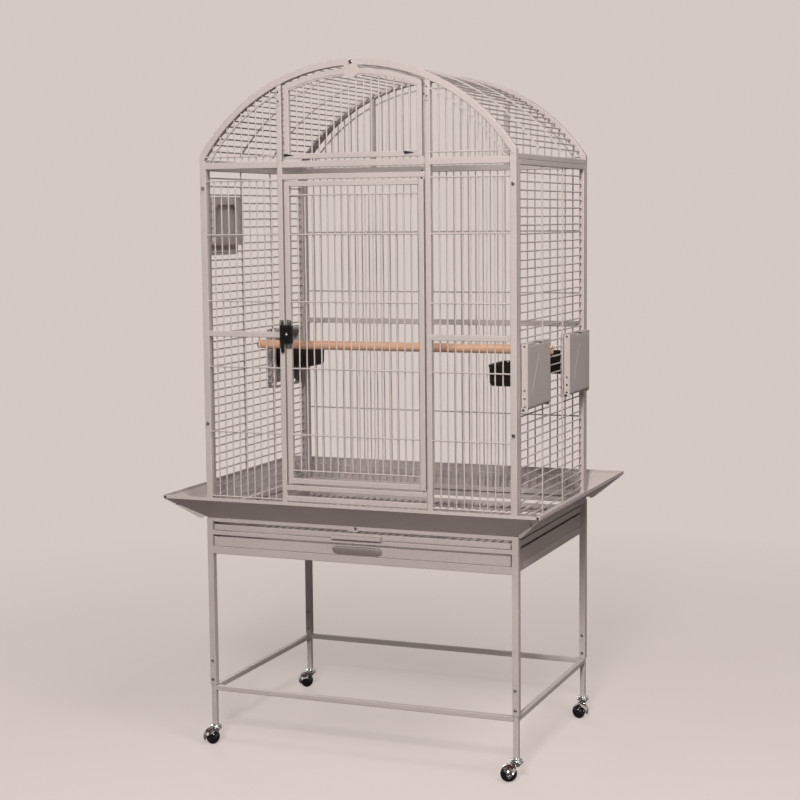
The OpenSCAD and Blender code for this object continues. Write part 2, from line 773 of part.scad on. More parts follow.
// nest box door: frame plate with an arched hole, flap hung at the top outside
module nest_hole_plan() {
  w = nest_hole_y1 - nest_hole_y0;
  translate([nest_hole_y0, nest_hole_z]) {
    square([w, nest_hole_h - nest_round]);
    translate([nest_round, 0]) square([w - 2 * nest_round, nest_hole_h]);
    for (y = [nest_round, w - nest_round])
      translate([y, nest_hole_h - nest_round]) circle(nest_round, $fn = facets);
  }
}

nest_lug = 5;
module nest_frame() color(platinum) {
  difference() {
    box(-frame_out_x, -frame_in_x, nest_y0, nest_y1, nest_z, nest_z + nest_h);
    translate([-frame_out_x - 1, 0, 0]) rotate([90, 0, 90]) linear_extrude(frame_out_x - frame_in_x + 2)
      nest_hole_plan();
  }
  for (y = [nest_y0, nest_y1 - nest_lug])
    box(nest_axis_x - 3, -frame_out_x - weld, y, y + nest_lug, nest_axis_z - 4, nest_axis_z + 4);
}

nest_door_y0 = nest_y0 + nest_lug + face_clear;
nest_door_y1 = nest_y1 - nest_lug - face_clear;
module nest_door() color(platinum)
  difference() {
    union() {
      box(nest_axis_x - sheet_t, nest_axis_x + sheet_t / 2, nest_door_y0, nest_door_y1,
        nest_z - nest_hang, nest_axis_z);
      rod_y(nest_barrel_r, nest_axis_x, nest_door_y0, nest_door_y1, nest_axis_z);
    }
    for (y = [nest_door_y0 - 1, nest_door_y1 - 9])
      rod_y(nest_pin_r + run_clear, nest_axis_x, y, y + 10, nest_axis_z);
  }

// hinge pins of the feeder doors and of the nest box door
module side_pins() color(chrome_grey) {
  for (s = [-1, 1]) feeder_pin_pair(s);
  mirror([1, 0, 0]) feeder_pin_pair(1);
  rod_y(nest_pin_r, nest_axis_x, nest_y0 + nest_lug + weld, nest_door_y0 + 8, nest_axis_z);
  rod_y(nest_pin_r, nest_axis_x, nest_door_y1 - 8, nest_y1 - nest_lug - weld, nest_axis_z);
}

// wooden perch across the cage
module perch() color(timber)
  difference() {
    rod_x(perch_d / 2, -perch_end, perch_end, 0, perch_z);
    for (s = [-1, 1])
      box(s > 0 ? side_wire_x - 2.5 : -perch_end - 1, s > 0 ? perch_end + 1 : -side_wire_x + 2.5,
        -perch_d, perch_d, perch_wire_z - wire_d / 2 - 0.2, perch_wire_z + wire_d / 2 + 0.2);
  }

// seed guards: bent sheet with a foot flange, a slope and a lip, mitred at the corners
guard_gap = 0.4;
guard_foot = 10;
function guard_profile(out) = [[guard_foot, 0], [-guard_gap, 0], [-out, guard_h - guard_lip], [-out, guard_h],
  [-out + sheet_t, guard_h], [-out + sheet_t, guard_h - guard_lip + sheet_t / 2],
  [-guard_gap - sheet_t / 4, sheet_t], [guard_foot, sheet_t]];

module long_guard() {
  reach = half_w + guard_out_x + 2;
  intersection() {
    translate([-reach, -half_d, stand_h]) rotate([90, 0, 90])
      linear_extrude(2 * reach) polygon(guard_profile(guard_out_y));
    guard_plan(half_w, half_d, guard_out_x, guard_out_y);
  }
}

module side_guard() {
  reach = half_d + guard_out_y + 2;
  intersection() {
    translate([half_w, -reach, stand_h]) rotate([90, 0, 0]) mirror([1, 0, 0]) mirror([0, 0, 1])
      linear_extrude(2 * reach) polygon(guard_profile(guard_out_x));
    rotate([0, 0, 90]) guard_plan(half_d, half_w, guard_out_y, guard_out_x);
  }
}

module guard_plan(length, depth, end_out, out)
  translate([0, 0, stand_h - 1]) linear_extrude(guard_h + 2) polygon([
    [-length + guard_foot + guard_gap, -depth + guard_foot + 1], [-length + guard_gap, -depth],
    [-length - end_out + guard_gap, -depth - out], [length + end_out - guard_gap, -depth - out],
    [length - guard_gap, -depth], [length - guard_foot - guard_gap, -depth + guard_foot + 1]]);

module guard_front() color(platinum) long_guard();
module guard_back() color(platinum) mirror([0, 1, 0]) long_guard();
module guard_right() color(platinum) side_guard();
module guard_left() color(platinum) mirror([1, 0, 0]) side_guard();

module guard_screws() color(chrome_grey)
  for (sx = [-1, 1], sy = [-1, 1])
    translate([sx * (half_w + guard_out_x - 6), sy * (half_d + guard_out_y),
      stand_h + guard_h - guard_lip / 2])
      rotate([sy * -90, 0, 0]) cylinder(r = 3.4, h = 2.4, $fn = facets);

// stand frames with round upper corners
corner_r = 7;
module leg_plan()
  translate([-leg_t / 2, 0]) {
    square([leg_t, stand_h - upper_leg_z - corner_r]);
    square([leg_t - corner_r, stand_h - upper_leg_z]);
    translate([leg_t - corner_r, stand_h - upper_leg_z - corner_r]) circle(corner_r, $fn = facets);
  }

module stand_end() {
  for (s = [0, 1])
    mirror([s, 0, 0]) translate([leg_x, -leg_in_y, upper_leg_z]) rotate([90, 0, 0])
      linear_extrude(leg_t) leg_plan();
  for (z = [[top_rail_z, stand_h], [mid_bar_top - mid_bar_h, mid_bar_top],
    [low_bar_top - low_bar_h, low_bar_top]])
    tube_x(-leg_in_x, leg_in_x, -leg_front, -leg_in_y, z[0], z[1]);
}

module stand_front() color(platinum) stand_end();
module stand_back() color(platinum) mirror([0, 1, 0]) stand_end();

// side runners: two bent sheets and a top rail on each side
module runner() {
  y = leg_in_y - weld;
  tube_y(leg_in_x, leg_in_x + leg_t, -leg_in_y, leg_in_y, top_rail_z + 1, stand_h);
  groove = 1;
  grate_low = grate_z - slide_clear;
  for (z = [[grate_low, top_rail_z + 1 - groove], [tray_z - slide_clear, grate_low - sheet_t - groove]]) {
    box(runner_x, runner_x + sheet_t, -y, y, z[0] - sheet_t, z[1]);
    box(runner_x - ledge, runner_x - weld, -y, y, z[0] - sheet_t, z[0]);
  }
  box(runner_x, runner_x + sheet_t, -y, y, low_bar_top - low_bar_h, tray_z - slide_clear - sheet_t - weld);
}

module right_runner() color(platinum) runner();
module left_runner() color(platinum) mirror([1, 0, 0]) runner();

module lower_frame() color(platinum) {
  h = lower_t / 2;
  for (sx = [-1, 1], sy = [-1, 1])
    tube_z(sx * leg_x - h, sx * leg_x + h, sy * leg_y - h, sy * leg_y + h, caster_h, upper_leg_z);
  for (s = [-1, 1]) {
    tube_x(-leg_x + h, leg_x - h, s * leg_y - h, s * leg_y + h, stretcher_z - h, stretcher_z + h);
    tube_y(s * leg_x - h, s * leg_x + h, -leg_y + h, leg_y - h, stretcher_z - h, stretcher_z + h);
  }
}

// bolts on each leg, by their height above the end of the upper leg
leg_bolt_up = [14, 62];
module leg_bolts() color(chrome_grey)
  for (sx = [-1, 1], sy = [-1, 1], up = leg_bolt_up)
    translate([sx * leg_x, sy * leg_front, upper_leg_z + up]) rotate([sy * -90, 0, 0])
      cylinder(r = 3.6, h = 2.6, $fn = facets);

// slide-out grate
grate_wires = 37;
grate_wire_z = grate_z + 5.5;
module grate() color(platinum) {
  w = drawer_half;
  front = -drawer_front;
  back = drawer_back;
  rim = 4;
  box(-w, w, front, front + 3 - weld, grate_z, grate_top);
  box(-w, w, back - rim, back, grate_z, grate_wire_z + 2);
  for (s = [-1, 1])
    box(s > 0 ? w - rim : -w, s > 0 ? w : -w + rim, front + 3, back, grate_z, grate_wire_z + 2);
  for (x = spread(-w, w, grate_wires)) rod_y(wire_d / 2, x, front + 3, back - 2, grate_wire_z);
  for (y = spread(front, back, 3)) box(-w + 2, w - 2, y - 1.5, y + 1.5, grate_z, grate_wire_z);
}

// bent sheet pulls; the profile runs from the drawer face out and down
module pull(z0, face_y, tab, out, drop)
  translate([-pull_w / 2, face_y, z0]) rotate([90, 0, 90]) linear_extrude(pull_w) polygon([
    [0, 0], [0, tab], [-sheet_t, tab], [-sheet_t, sheet_t], [-out, sheet_t], [-out, -drop],
    [-out + sheet_t, -drop], [-out + sheet_t, 0]]);

grate_pull_z = grate_z + 7.5;
module grate_pull() color(platinum) pull(grate_pull_z, -drawer_front - weld, 6, 11, 8);

// slide-out tray
module tray() color(platinum)
  difference() {
    box(-drawer_half, drawer_half, -drawer_front, drawer_back, tray_z, tray_top);
    box(-drawer_half + sheet_t, drawer_half - sheet_t, -drawer_front + sheet_t, drawer_back - sheet_t,
      tray_z + sheet_t, tray_top + 1);
  }

tray_pull_z = tray_top - 7;
module tray_pull() color(platinum) pull(tray_pull_z, -drawer_front - weld, 5, 13, 14);

// turning catch over the grate
module drawer_catch() color(platinum)
  translate([catch_pivot_x, -leg_front - face_clear, catch_pivot_z]) rotate([90, 0, 0])
    linear_extrude(catch_t) difference() {
      polygon([[-31, 3], [-31, -4], [-1, -10], [7, -6], [7, 3]]);
      circle(screw_r, $fn = facets);
    }

// casters: fixed cap and pin, chrome hood that swivels, pair of wheels on its axle
module caster_stems() color(chrome_grey)
  for (c = caster_spots)
    translate([c[0] * leg_x, c[1] * leg_y, 0]) {
      rod_z(cap_r - 1, 0, 0, swivel_z + face_clear, caster_h - 1.5);
      rod_z(lower_t / 2, 0, 0, caster_h - 2, caster_h - weld);
      rod_z(swivel_pin_r, 0, 0, swivel_z - cap_h - 1.5, swivel_z + 2);
    }

module caster_place(c) translate([c[0] * leg_x, c[1] * leg_y, 0]) rotate([0, 0, c[2]]) children();

module hood(c) caster_place(c) difference() {
  union() {
    rod_z(cap_r, 0, 0, swivel_z - cap_h, swivel_z);
    translate([trail, web_w / 2, axle_z]) rotate([90, 0, 0]) linear_extrude(web_w) {
      circle(8, $fn = facets);
      intersection() {
        difference() {
          circle(swivel_z - cap_h - axle_z + 2, $fn = 96);
          circle(wheel_d / 2 + 1, $fn = 96);
        }
        polygon(wheel_d * [[0, 0], [-1, 0.3], [-1, 1.5], [1.5, 1.5], [1.5, -0.55]]);
      }
      translate([-4, 0]) square([8, swivel_z - cap_h - axle_z + 1]);
    }
    translate([trail, 0, 0]) rod_y(axle_r, 0, -web_w / 2 - wheel_w - 2, strap_y + strap_t / 2, axle_z);
    box(-strap_half, strap_half, 0, strap_y + strap_t, swivel_z - cap_h - strap_t, swivel_z - cap_h + 0.5);
    translate([0, strap_y + strap_t, 0]) rotate([90, 0, 0]) linear_extrude(strap_t) {
      translate([trail, axle_z]) circle(strap_tip, $fn = facets);
      polygon([[-strap_half, swivel_z - cap_h], [strap_half, swivel_z - cap_h],
        [trail + strap_tip, axle_z], [trail - strap_tip, axle_z]]);
    }
  }
  rod_z(swivel_pin_r + run_clear, 0, 0, swivel_z - cap_h - 2, swivel_z + 1);
}

// half ball: the radius falls off like an ellipse beyond the tread
module wheel_plan() {
  r = wheel_d / 2;
  b = axle_r + run_clear;
  reach = 1.25 * (wheel_w - tread_w);
  dome = [for (k = [0:wheel_steps]) let (t = (wheel_w - tread_w) * k / wheel_steps)
    [r * sqrt(1 - pow(t / reach, 2)), tread_w + t]];
  polygon(concat([[b, 0], [r, 0]], dome, [[b, wheel_w]]));
}

module wheels(c) caster_place(c)
  for (s = [0, 1])
    mirror([0, s, 0]) translate([trail, web_w / 2 + face_clear, axle_z]) rotate([-90, 0, 0])
      rotate_extrude($fn = 96) wheel_plan();

module hood_front_left() color(chrome_grey) hood(caster_spots[0]);
module hood_front_right() color(chrome_grey) hood(caster_spots[1]);
module hood_rear_right() color(chrome_grey) hood(caster_spots[2]);
module hood_rear_left() color(chrome_grey) hood(caster_spots[3]);
module wheels_front_left() color(black) wheels(caster_spots[0]);
module wheels_front_right() color(black) wheels(caster_spots[1]);
module wheels_rear_right() color(black) wheels(caster_spots[2]);
module wheels_rear_left() color(black) wheels(caster_spots[3]);

dome_arches();
front_frame();
front_left_bars();
front_right_bars();
front_dome_bars();
back_frame();
back_bars();
left_frame();
left_bars();
right_frame();
right_bars();
roof_rails();
roof_bars();
panel_bolts();
door_frame();
door_bars();
door_pins();
latch_plate();
latch_keeper();
latch_lever();
hatch_frame();
hatch_bars();
catch_disc();
pivot_screws();
feeder_frames();
side_pins();
feeder_door_front_right();
feeder_door_rear_right();
feeder_door_rear_left();
cup_front_right();
cup_rear_right();
cup_rear_left();
nest_frame();
nest_door();
perch();
guard_front();
guard_back();
guard_left();
guard_right();
guard_screws();
stand_front();
stand_back();
left_runner();
right_runner();
lower_frame();
leg_bolts();
grate();
grate_pull();
tray();
tray_pull();
drawer_catch();
caster_stems();
hood_front_left();
hood_front_right();
hood_rear_right();
hood_rear_left();
wheels_front_left();
wheels_front_right();
wheels_rear_right();
wheels_rear_left();
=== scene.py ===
# Dome top parrot cage: finishes, fine detail, floor, light and camera.
import json
import math
import bmesh
import bpy
import numpy as np
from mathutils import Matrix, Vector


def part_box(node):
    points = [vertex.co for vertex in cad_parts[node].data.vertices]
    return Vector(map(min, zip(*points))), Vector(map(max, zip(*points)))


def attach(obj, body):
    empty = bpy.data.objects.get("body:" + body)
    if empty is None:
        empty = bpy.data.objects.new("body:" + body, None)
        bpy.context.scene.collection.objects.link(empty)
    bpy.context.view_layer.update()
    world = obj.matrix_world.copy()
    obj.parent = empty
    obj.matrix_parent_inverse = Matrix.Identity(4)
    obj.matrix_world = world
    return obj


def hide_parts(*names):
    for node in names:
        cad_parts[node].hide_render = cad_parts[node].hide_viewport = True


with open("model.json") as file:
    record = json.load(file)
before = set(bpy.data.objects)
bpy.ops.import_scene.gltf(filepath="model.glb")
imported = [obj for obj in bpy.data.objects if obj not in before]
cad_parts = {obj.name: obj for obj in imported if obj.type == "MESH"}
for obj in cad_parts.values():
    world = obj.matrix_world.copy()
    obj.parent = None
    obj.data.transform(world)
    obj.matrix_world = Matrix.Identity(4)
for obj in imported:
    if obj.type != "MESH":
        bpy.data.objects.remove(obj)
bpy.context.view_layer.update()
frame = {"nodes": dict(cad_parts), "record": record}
nodes = frame["nodes"]

# finishes, as a user would change them; grain is the noise scale, depths are in metres
coat = {"light": (0.56, 0.492, 0.468), "dark": (0.47, 0.411, 0.389), "grain": 520.0, "bump": 0.10,
        "depth": 0.0006, "roughness": 0.38}
# the tray pull's coat is darker than the cage coat as painted shade on its leaning face; its lower roughness
# is its smoother finish
pullShadedCoat = {"light": (0.37, 0.315, 0.295), "dark": (0.31, 0.265, 0.25), "grain": 520.0, "bump": 0.04,
            "depth": 0.0006, "roughness": 0.2}
plated = {"colour": (0.60, 0.60, 0.60), "roughness": 0.17, "metallic": 1.0, "grain": 600.0, "bump": 0.03}
boltSteel = {"colour": (0.33, 0.32, 0.31), "roughness": 0.28, "metallic": 1.0, "grain": 500.0, "bump": 0.05}
cupPlastic = {"colour": (0.017, 0.011, 0.008), "roughness": 0.20, "metallic": 0.0,
              "grain": 500.0, "bump": 0.06}
latchPlastic = {"colour": (0.007, 0.007, 0.007), "roughness": 0.24, "metallic": 0.0,
                "grain": 450.0, "bump": 0.05}
wheelPlastic = {"colour": (0.006, 0.006, 0.007), "roughness": 0.22, "metallic": 0.0,
                "grain": 350.0, "bump": 0.05}
liningPlastic = {"colour": (0.060, 0.017, 0.008), "roughness": 0.35, "metallic": 0.0,
                 "grain": 350.0, "bump": 0.05}
timber = {"pale": (0.86, 0.53, 0.36), "deep": (0.72, 0.40, 0.25), "bump": 0.2, "depth": 0.0004}
cloudy = {"low": 0.75, "high": 1.3, "depth": 0.0003}


def newGroup(name, inputs, outputs):
    group = bpy.data.node_groups.new(name, "ShaderNodeTree")
    for label, kind, value in inputs:
        socket = group.interface.new_socket(label, in_out="INPUT", socket_type=kind)
        socket.default_value = value
    for label, kind in outputs:
        group.interface.new_socket(label, in_out="OUTPUT", socket_type=kind)
    return group, group.nodes.new("NodeGroupInput"), group.nodes.new("NodeGroupOutput")


def feed(tree, value, socket):
    if isinstance(value, (int, float)):
        socket.default_value = value
    else:
        tree.links.new(value, socket)


def addNoise(tree, coords, scale, detail=2.0, rough=0.5):
    noise = tree.nodes.new("ShaderNodeTexNoise")
    noise.inputs["Detail"].default_value = detail
    noise.inputs["Roughness"].default_value = rough
    feed(tree, scale, noise.inputs["Scale"])
    tree.links.new(coords, noise.inputs["Vector"])
    return noise.outputs["Fac"]


def addRange(tree, value, low, high, outLow, outHigh):
    node = tree.nodes.new("ShaderNodeMapRange")
    tree.links.new(value, node.inputs["Value"])
    for label, number in (("From Min", low), ("From Max", high), ("To Min", outLow), ("To Max", outHigh)):
        feed(tree, number, node.inputs[label])
    return node.outputs["Result"]


def addMath(tree, operation, a, b, clamp=False):
    node = tree.nodes.new("ShaderNodeMath")
    node.operation = operation
    node.use_clamp = clamp
    feed(tree, a, node.inputs[0])
    feed(tree, b, node.inputs[1])
    return node.outputs[0]


def addMix(tree, factor, a, b):
    node = tree.nodes.new("ShaderNodeMix")
    node.data_type = "RGBA"
    tree.links.new(factor, node.inputs["Factor"])
    tree.links.new(a, node.inputs["A"])
    tree.links.new(b, node.inputs["B"])
    return node.outputs["Result"]


def objectCoords(tree, stretch=None):
    coords = tree.nodes.new("ShaderNodeTexCoord").outputs["Object"]
    if stretch is None:
        return coords
    mapping = tree.nodes.new("ShaderNodeMapping")
    mapping.inputs["Scale"].default_value = stretch
    tree.links.new(coords, mapping.inputs["Vector"])
    return mapping.outputs["Vector"]


# powder coat: fine orange peel of about 2 mm over a slow drift in tone
def powderGroup():
    group, start, end = newGroup(
        "powderCoat",
        [("Light", "NodeSocketColor", (0.5, 0.5, 0.5, 1)), ("Dark", "NodeSocketColor", (0.4, 0.4, 0.4, 1)),
         ("Grain", "NodeSocketFloat", 420.0), ("Roughness", "NodeSocketFloat", 0.4)],
        [("Color", "NodeSocketColor"), ("Roughness", "NodeSocketFloat"), ("Height", "NodeSocketFloat")])
    coords = objectCoords(group)
    peel = addNoise(group, coords, start.outputs["Grain"], 1.5, 0.45)
    speck = addRange(group, peel, 0.32, 0.70, 0.15, 0.85)
    drift = addRange(group, addNoise(group, coords, 7.0, 2.0), 0.3, 0.7, -0.22, 0.22)
    tone = addMath(group, "ADD", speck, drift, clamp=True)
    group.links.new(addMix(group, tone, start.outputs["Dark"], start.outputs["Light"]), end.inputs["Color"])
    rise = addMath(group, "MULTIPLY", peel, 0.16)
    group.links.new(addMath(group, "ADD", rise, start.outputs["Roughness"]), end.inputs["Roughness"])
    group.links.new(peel, end.inputs["Height"])
    return group


# turned wood: the grain runs along X, so the noise is squeezed across it
def woodGroup():
    group, start, end = newGroup(
        "turnedWood",
        [("Pale", "NodeSocketColor", (0.6, 0.4, 0.2, 1)), ("Deep", "NodeSocketColor", (0.4, 0.2, 0.1, 1))],
        [("Color", "NodeSocketColor"), ("Roughness", "NodeSocketFloat"), ("Height", "NodeSocketFloat")])
    streak = addNoise(group, objectCoords(group, (3.0, 60.0, 60.0)), 2.2, 4.0, 0.6)
    pores = addNoise(group, objectCoords(group, (14.0, 420.0, 420.0)), 2.0, 2.0, 0.5)
    both = addMath(group, "ADD", streak, addMath(group, "MULTIPLY", pores, 0.35))
    tone = addRange(group, both, 0.45, 0.85, 0.0, 1.0)
    group.links.new(addMix(group, tone, start.outputs["Pale"], start.outputs["Deep"]), end.inputs["Color"])
    group.links.new(addRange(group, streak, 0.3, 0.7, 0.42, 0.6), end.inputs["Roughness"])
    group.links.new(pores, end.inputs["Height"])
    return group


# plastic and plating: cloudy shine with a fine grain
def speckGroup():
    group, start, end = newGroup(
        "cloudyShine",
        [("Scale", "NodeSocketFloat", 300.0), ("Low", "NodeSocketFloat", 0.2),
         ("High", "NodeSocketFloat", 0.35)],
        [("Roughness", "NodeSocketFloat"), ("Height", "NodeSocketFloat")])
    coords = objectCoords(group)
    cloud = addNoise(group, coords, 40.0, 3.0, 0.6)
    shine = addRange(group, cloud, 0.35, 0.65, start.outputs["Low"], start.outputs["High"])
    group.links.new(shine, end.inputs["Roughness"])
    group.links.new(addNoise(group, coords, start.outputs["Scale"]), end.inputs["Height"])
    return group


def newMaterial(name):
    material = bpy.data.materials.new(name)
    material.use_nodes = True
    return material, material.node_tree, material.node_tree.nodes["Principled BSDF"]


def useGroup(tree, group, values):
    effect = tree.nodes.new("ShaderNodeGroup")
    effect.node_tree = group
    for label, value in values.items():
        effect.inputs[label].default_value = (*value, 1) if isinstance(value, tuple) else value
    return effect.outputs


def addBump(tree, shader, height, strength, distance):
    bump = tree.nodes.new("ShaderNodeBump")
    bump.inputs["Strength"].default_value = strength
    bump.inputs["Distance"].default_value = distance
    tree.links.new(height, bump.inputs["Height"])
    tree.links.new(bump.outputs["Normal"], shader.inputs["Normal"])


def colouredMaterial(name, group, look, values):
    material, tree, shader = newMaterial(name)
    effect = useGroup(tree, group, values)
    tree.links.new(effect["Color"], shader.inputs["Base Color"])
    tree.links.new(effect["Roughness"], shader.inputs["Roughness"])
    addBump(tree, shader, effect["Height"], look["bump"], look["depth"])
    return material


def coatMaterial(name, look):
    return colouredMaterial(name, powder, look, {
        "Light": look["light"], "Dark": look["dark"], "Grain": look["grain"], "Roughness": look["roughness"]})


def speckMaterial(name, look):
    material, tree, shader = newMaterial(name)
    shine = look["roughness"]
    effect = useGroup(tree, specks, {
        "Scale": look["grain"], "Low": shine * cloudy["low"], "High": shine * cloudy["high"]})
    shader.inputs["Base Color"].default_value = (*look["colour"], 1)
    shader.inputs["Metallic"].default_value = look["metallic"]
    tree.links.new(effect["Roughness"], shader.inputs["Roughness"])
    addBump(tree, shader, effect["Height"], look["bump"], cloudy["depth"])
    return material


powder = powderGroup()
specks = speckGroup()
coatPaint = coatMaterial("platinumCoat", coat)
# the pull's darker coat is painted shade
pullShadedPaint = coatMaterial("smoothCoatPaintedShade", pullShadedCoat)
perchWood = colouredMaterial("perchWood", woodGroup(), timber, {
    "Pale": timber["pale"], "Deep": timber["deep"]})
brightPlate = speckMaterial("brightPlate", plated)
greySteel = speckMaterial("greySteel", boltSteel)
cupBlack = speckMaterial("cupPlastic", cupPlastic)
latchBlack = speckMaterial("latchPlastic", latchPlastic)
wheelBlack = speckMaterial("wheelPlastic", wheelPlastic)
liningBrown = speckMaterial("liningPlastic", liningPlastic)

bySlot = {"coat": coatPaint, "bright": brightPlate, "black_plastic": cupBlack, "wheel_black": wheelBlack,
          "timber": perchWood}
for part in frame["record"]["subparts"]:
    for place in nodes[part["node"]].material_slots:
        place.material = bySlot[part["material_slot"]]
print("finishes", len(nodes))

# surfaces are worked out in millimetres as grids of points and stored in metres
millimetre = 0.001
weldReach = 0.002
xAxis, yAxis, zAxis = np.eye(3)
frontAxes = (xAxis, zAxis, -yAxis)
planAxes = (xAxis, yAxis, zAxis)
alongAxes = (xAxis, zAxis, yAxis)


def corners(node):
    return [np.array(corner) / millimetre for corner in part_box(node)]


# quads from each row to the next and each column to the next
def gridFaces(rows, cols, wrapRows, wrapCols):
    r, c = np.meshgrid(np.arange(rows if wrapRows else rows - 1), np.arange(cols if wrapCols else cols - 1),
                       indexing="ij")
    nextR, nextC = (r + 1) % rows, (c + 1) % cols
    faces = np.stack([r * cols + c, r * cols + nextC, nextR * cols + nextC, nextR * cols + c], -1)
    return faces.reshape(-1, 4)


# one object from several grids; seams and poles are merged and the normals turned outwards
def addPiece(name, sheets, body, finish, replaced=(), sharp=38):
    points, faces, count = [], [], 0
    for grid, wrapRows, wrapCols in sheets:
        rows, cols = grid.shape[:2]
        points.append(grid.reshape(-1, 3) * millimetre)
        faces.append(gridFaces(rows, cols, wrapRows, wrapCols) + count)
        count += rows * cols
    mesh = bpy.data.meshes.new(name)
    mesh.from_pydata(np.concatenate(points).tolist(), [], np.concatenate(faces).tolist())
    welded = bmesh.new()
    welded.from_mesh(mesh)
    bmesh.ops.remove_doubles(welded, verts=welded.verts, dist=weldReach * millimetre)
    bmesh.ops.recalc_face_normals(welded, faces=welded.faces)
    welded.to_mesh(mesh)
    welded.free()
    mesh.shade_smooth()
    mesh.set_sharp_from_angle(angle=math.radians(sharp))
    mesh.materials.append(finish)
    piece = bpy.data.objects.new(name, mesh)
    bpy.context.collection.objects.link(piece)
    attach(piece, body)
    if replaced:
        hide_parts(*replaced)
    return piece


def spokes(axis, count):
    side = np.cross(axis, xAxis if abs(axis[2]) > 0.9 else zAxis)
    side = side / np.linalg.norm(side)
    turn = np.arange(count) / count * 2 * math.pi
    return turn, np.cos(turn)[:, None] * side + np.sin(turn)[:, None] * np.cross(axis, side)


# turned form: point = place + radius (cos t side + sin t across) + height axis
def revolve(profile, place, axis, count=32):
    radius, height = np.array(profile, float).T
    around = spokes(axis, count)[1]
    grid = place + radius[:, None, None] * around + height[:, None, None] * axis
    return grid, False, True


# loop of a rectangle with its own radius at each corner, from the upper right one round to the lower right
def cornerLoop(width, height, radii, arcs=7):
    bend = np.linspace(0, math.pi / 2, arcs)
    quarters = []
    for step, (signX, signY) in enumerate(((1, 1), (-1, 1), (-1, -1), (1, -1))):
        turn = bend + step * math.pi / 2
        middle = np.array((signX * (width / 2 - radii[step]), signY * (height / 2 - radii[step])))
        quarters.append(middle + radii[step] * np.stack([np.cos(turn), np.sin(turn)], -1))
    return np.concatenate(quarters)


# stack of corner loops, each drawn in by its inset and raised by its lift, closed at both middles
def slab(width, height, radius, levels, place, axes):
    loops = [cornerLoop(width - 2 * inset, height - 2 * inset, [max(radius - inset, 0.1)] * 4)
             for inset, lift in levels]
    flat = np.stack([loops[0] * 0] + loops + [loops[-1] * 0])
    lift = np.array([levels[0][1]] + [level[1] for level in levels] + [levels[-1][1]])
    across, up, out = axes
    grid = place + flat[..., :1] * across + flat[..., 1:] * up + lift[:, None, None] * out
    return grid, False, True


# quarter rounds on both faces of a plate
def softEdges(thick, bend, steps=4):
    turn = np.linspace(0, math.pi / 2, steps)
    low = list(zip(bend * (1 - np.sin(turn)), bend * (1 - np.cos(turn))))
    return low + [(inset, thick - lift) for inset, lift in reversed(low)]


# screw and bolt heads: a turned head whose socket is a hexagon or a cross
screws = {"columns": 48, "socket": 0.52, "deep": 0.5, "crossHalf": 0.26}


def screwHead(place, axis, radius, height, socket, shank=(0.0, 0.0)):
    turn, around = spokes(axis, screws["columns"])
    if socket == "hexagon":
        edge = math.cos(math.pi / 6) / np.cos(turn % (math.pi / 3) - math.pi / 6)
    else:
        c, s = np.abs(np.cos(turn)) + 1e-6, np.abs(np.sin(turn)) + 1e-6
        half = screws["crossHalf"]
        edge = np.maximum(np.minimum(1 / c, half / s), np.minimum(1 / s, half / c))
    plain = np.ones_like(turn)
    shankR, shankH = shank
    rows = [(0, 0, plain), (shankR, 0, plain), (shankR, shankH, plain)] if shankH else [(0, 0, plain)]
    for r, h in ((1, 0), (1, 0.55), (0.95, 0.78), (0.84, 0.93), (0.68, 1)):
        rows.append((r * radius, shankH + h * height, plain))
    inner, deep = screws["socket"] * radius, shankH + screws["deep"] * height
    rows += [(inner, shankH + height, edge), (0.9 * inner, deep, edge), (0, deep, plain)]
    reach = np.stack([r * shape for r, h, shape in rows])
    lift = np.array([h for r, h, shape in rows])
    grid = place + reach[..., None] * around + lift[:, None, None] * axis
    return grid, False, True


frontY = corners("front_frame")[0][1]
boltLow, boltHigh = corners("panel_bolts")
panelBolt = {"radius": 4.5, "rise": 3.2}
boltX = boltHigh[0] - panelBolt["radius"]
boltLevels = (boltLow[2] + panelBolt["radius"], boltHigh[2] - panelBolt["radius"])
addPiece("panelBoltHeads", [
    screwHead(np.array((x, side * -frontY, z)), side * yAxis, panelBolt["radius"], panelBolt["rise"],
              "hexagon")
    for x in (-boltX, boltX) for side in (-1, 1) for z in boltLevels
], "cage", greySteel, ("panel_bolts",))

legLow, legHigh = corners("leg_bolts")
legBolt = {"radius": 3.6, "rise": 2.6, "leg": 16}
legX, legFace = legHigh[0] - legBolt["radius"], legHigh[1] - legBolt["rise"]
legLevels = (legLow[2] + legBolt["radius"], legHigh[2] - legBolt["radius"])


# heads at every leg, on its outer face (way 1) or its inner face (way -1)
def legHeads(reach, way):
    return [screwHead(np.array((x, side * reach, z)), way * side * yAxis, legBolt["radius"], legBolt["rise"],
                      "hexagon")
            for x in (-legX, legX) for side in (-1, 1) for z in legLevels]


addPiece("legBoltHeads", legHeads(legFace, 1), "cage", greySteel, ("leg_bolts",))
addPiece("legNuts", legHeads(legFace - legBolt["leg"], -1), "cage", greySteel)

rimLow, rimHigh = corners("guard_screws")
rimScrew = {"radius": 3.4, "rise": 2.4}
rimX, rimFace = rimHigh[0] - rimScrew["radius"], rimHigh[1] - rimScrew["rise"]
screwZ = (rimLow[2] + rimHigh[2]) / 2
addPiece("guardScrewHeads", [
    screwHead(np.array((x, side * rimFace, screwZ)), side * yAxis, rimScrew["radius"], rimScrew["rise"],
              "cross")
    for x in (-rimX, rimX) for side in (-1, 1)
], "cage", greySteel, ("guard_screws",))

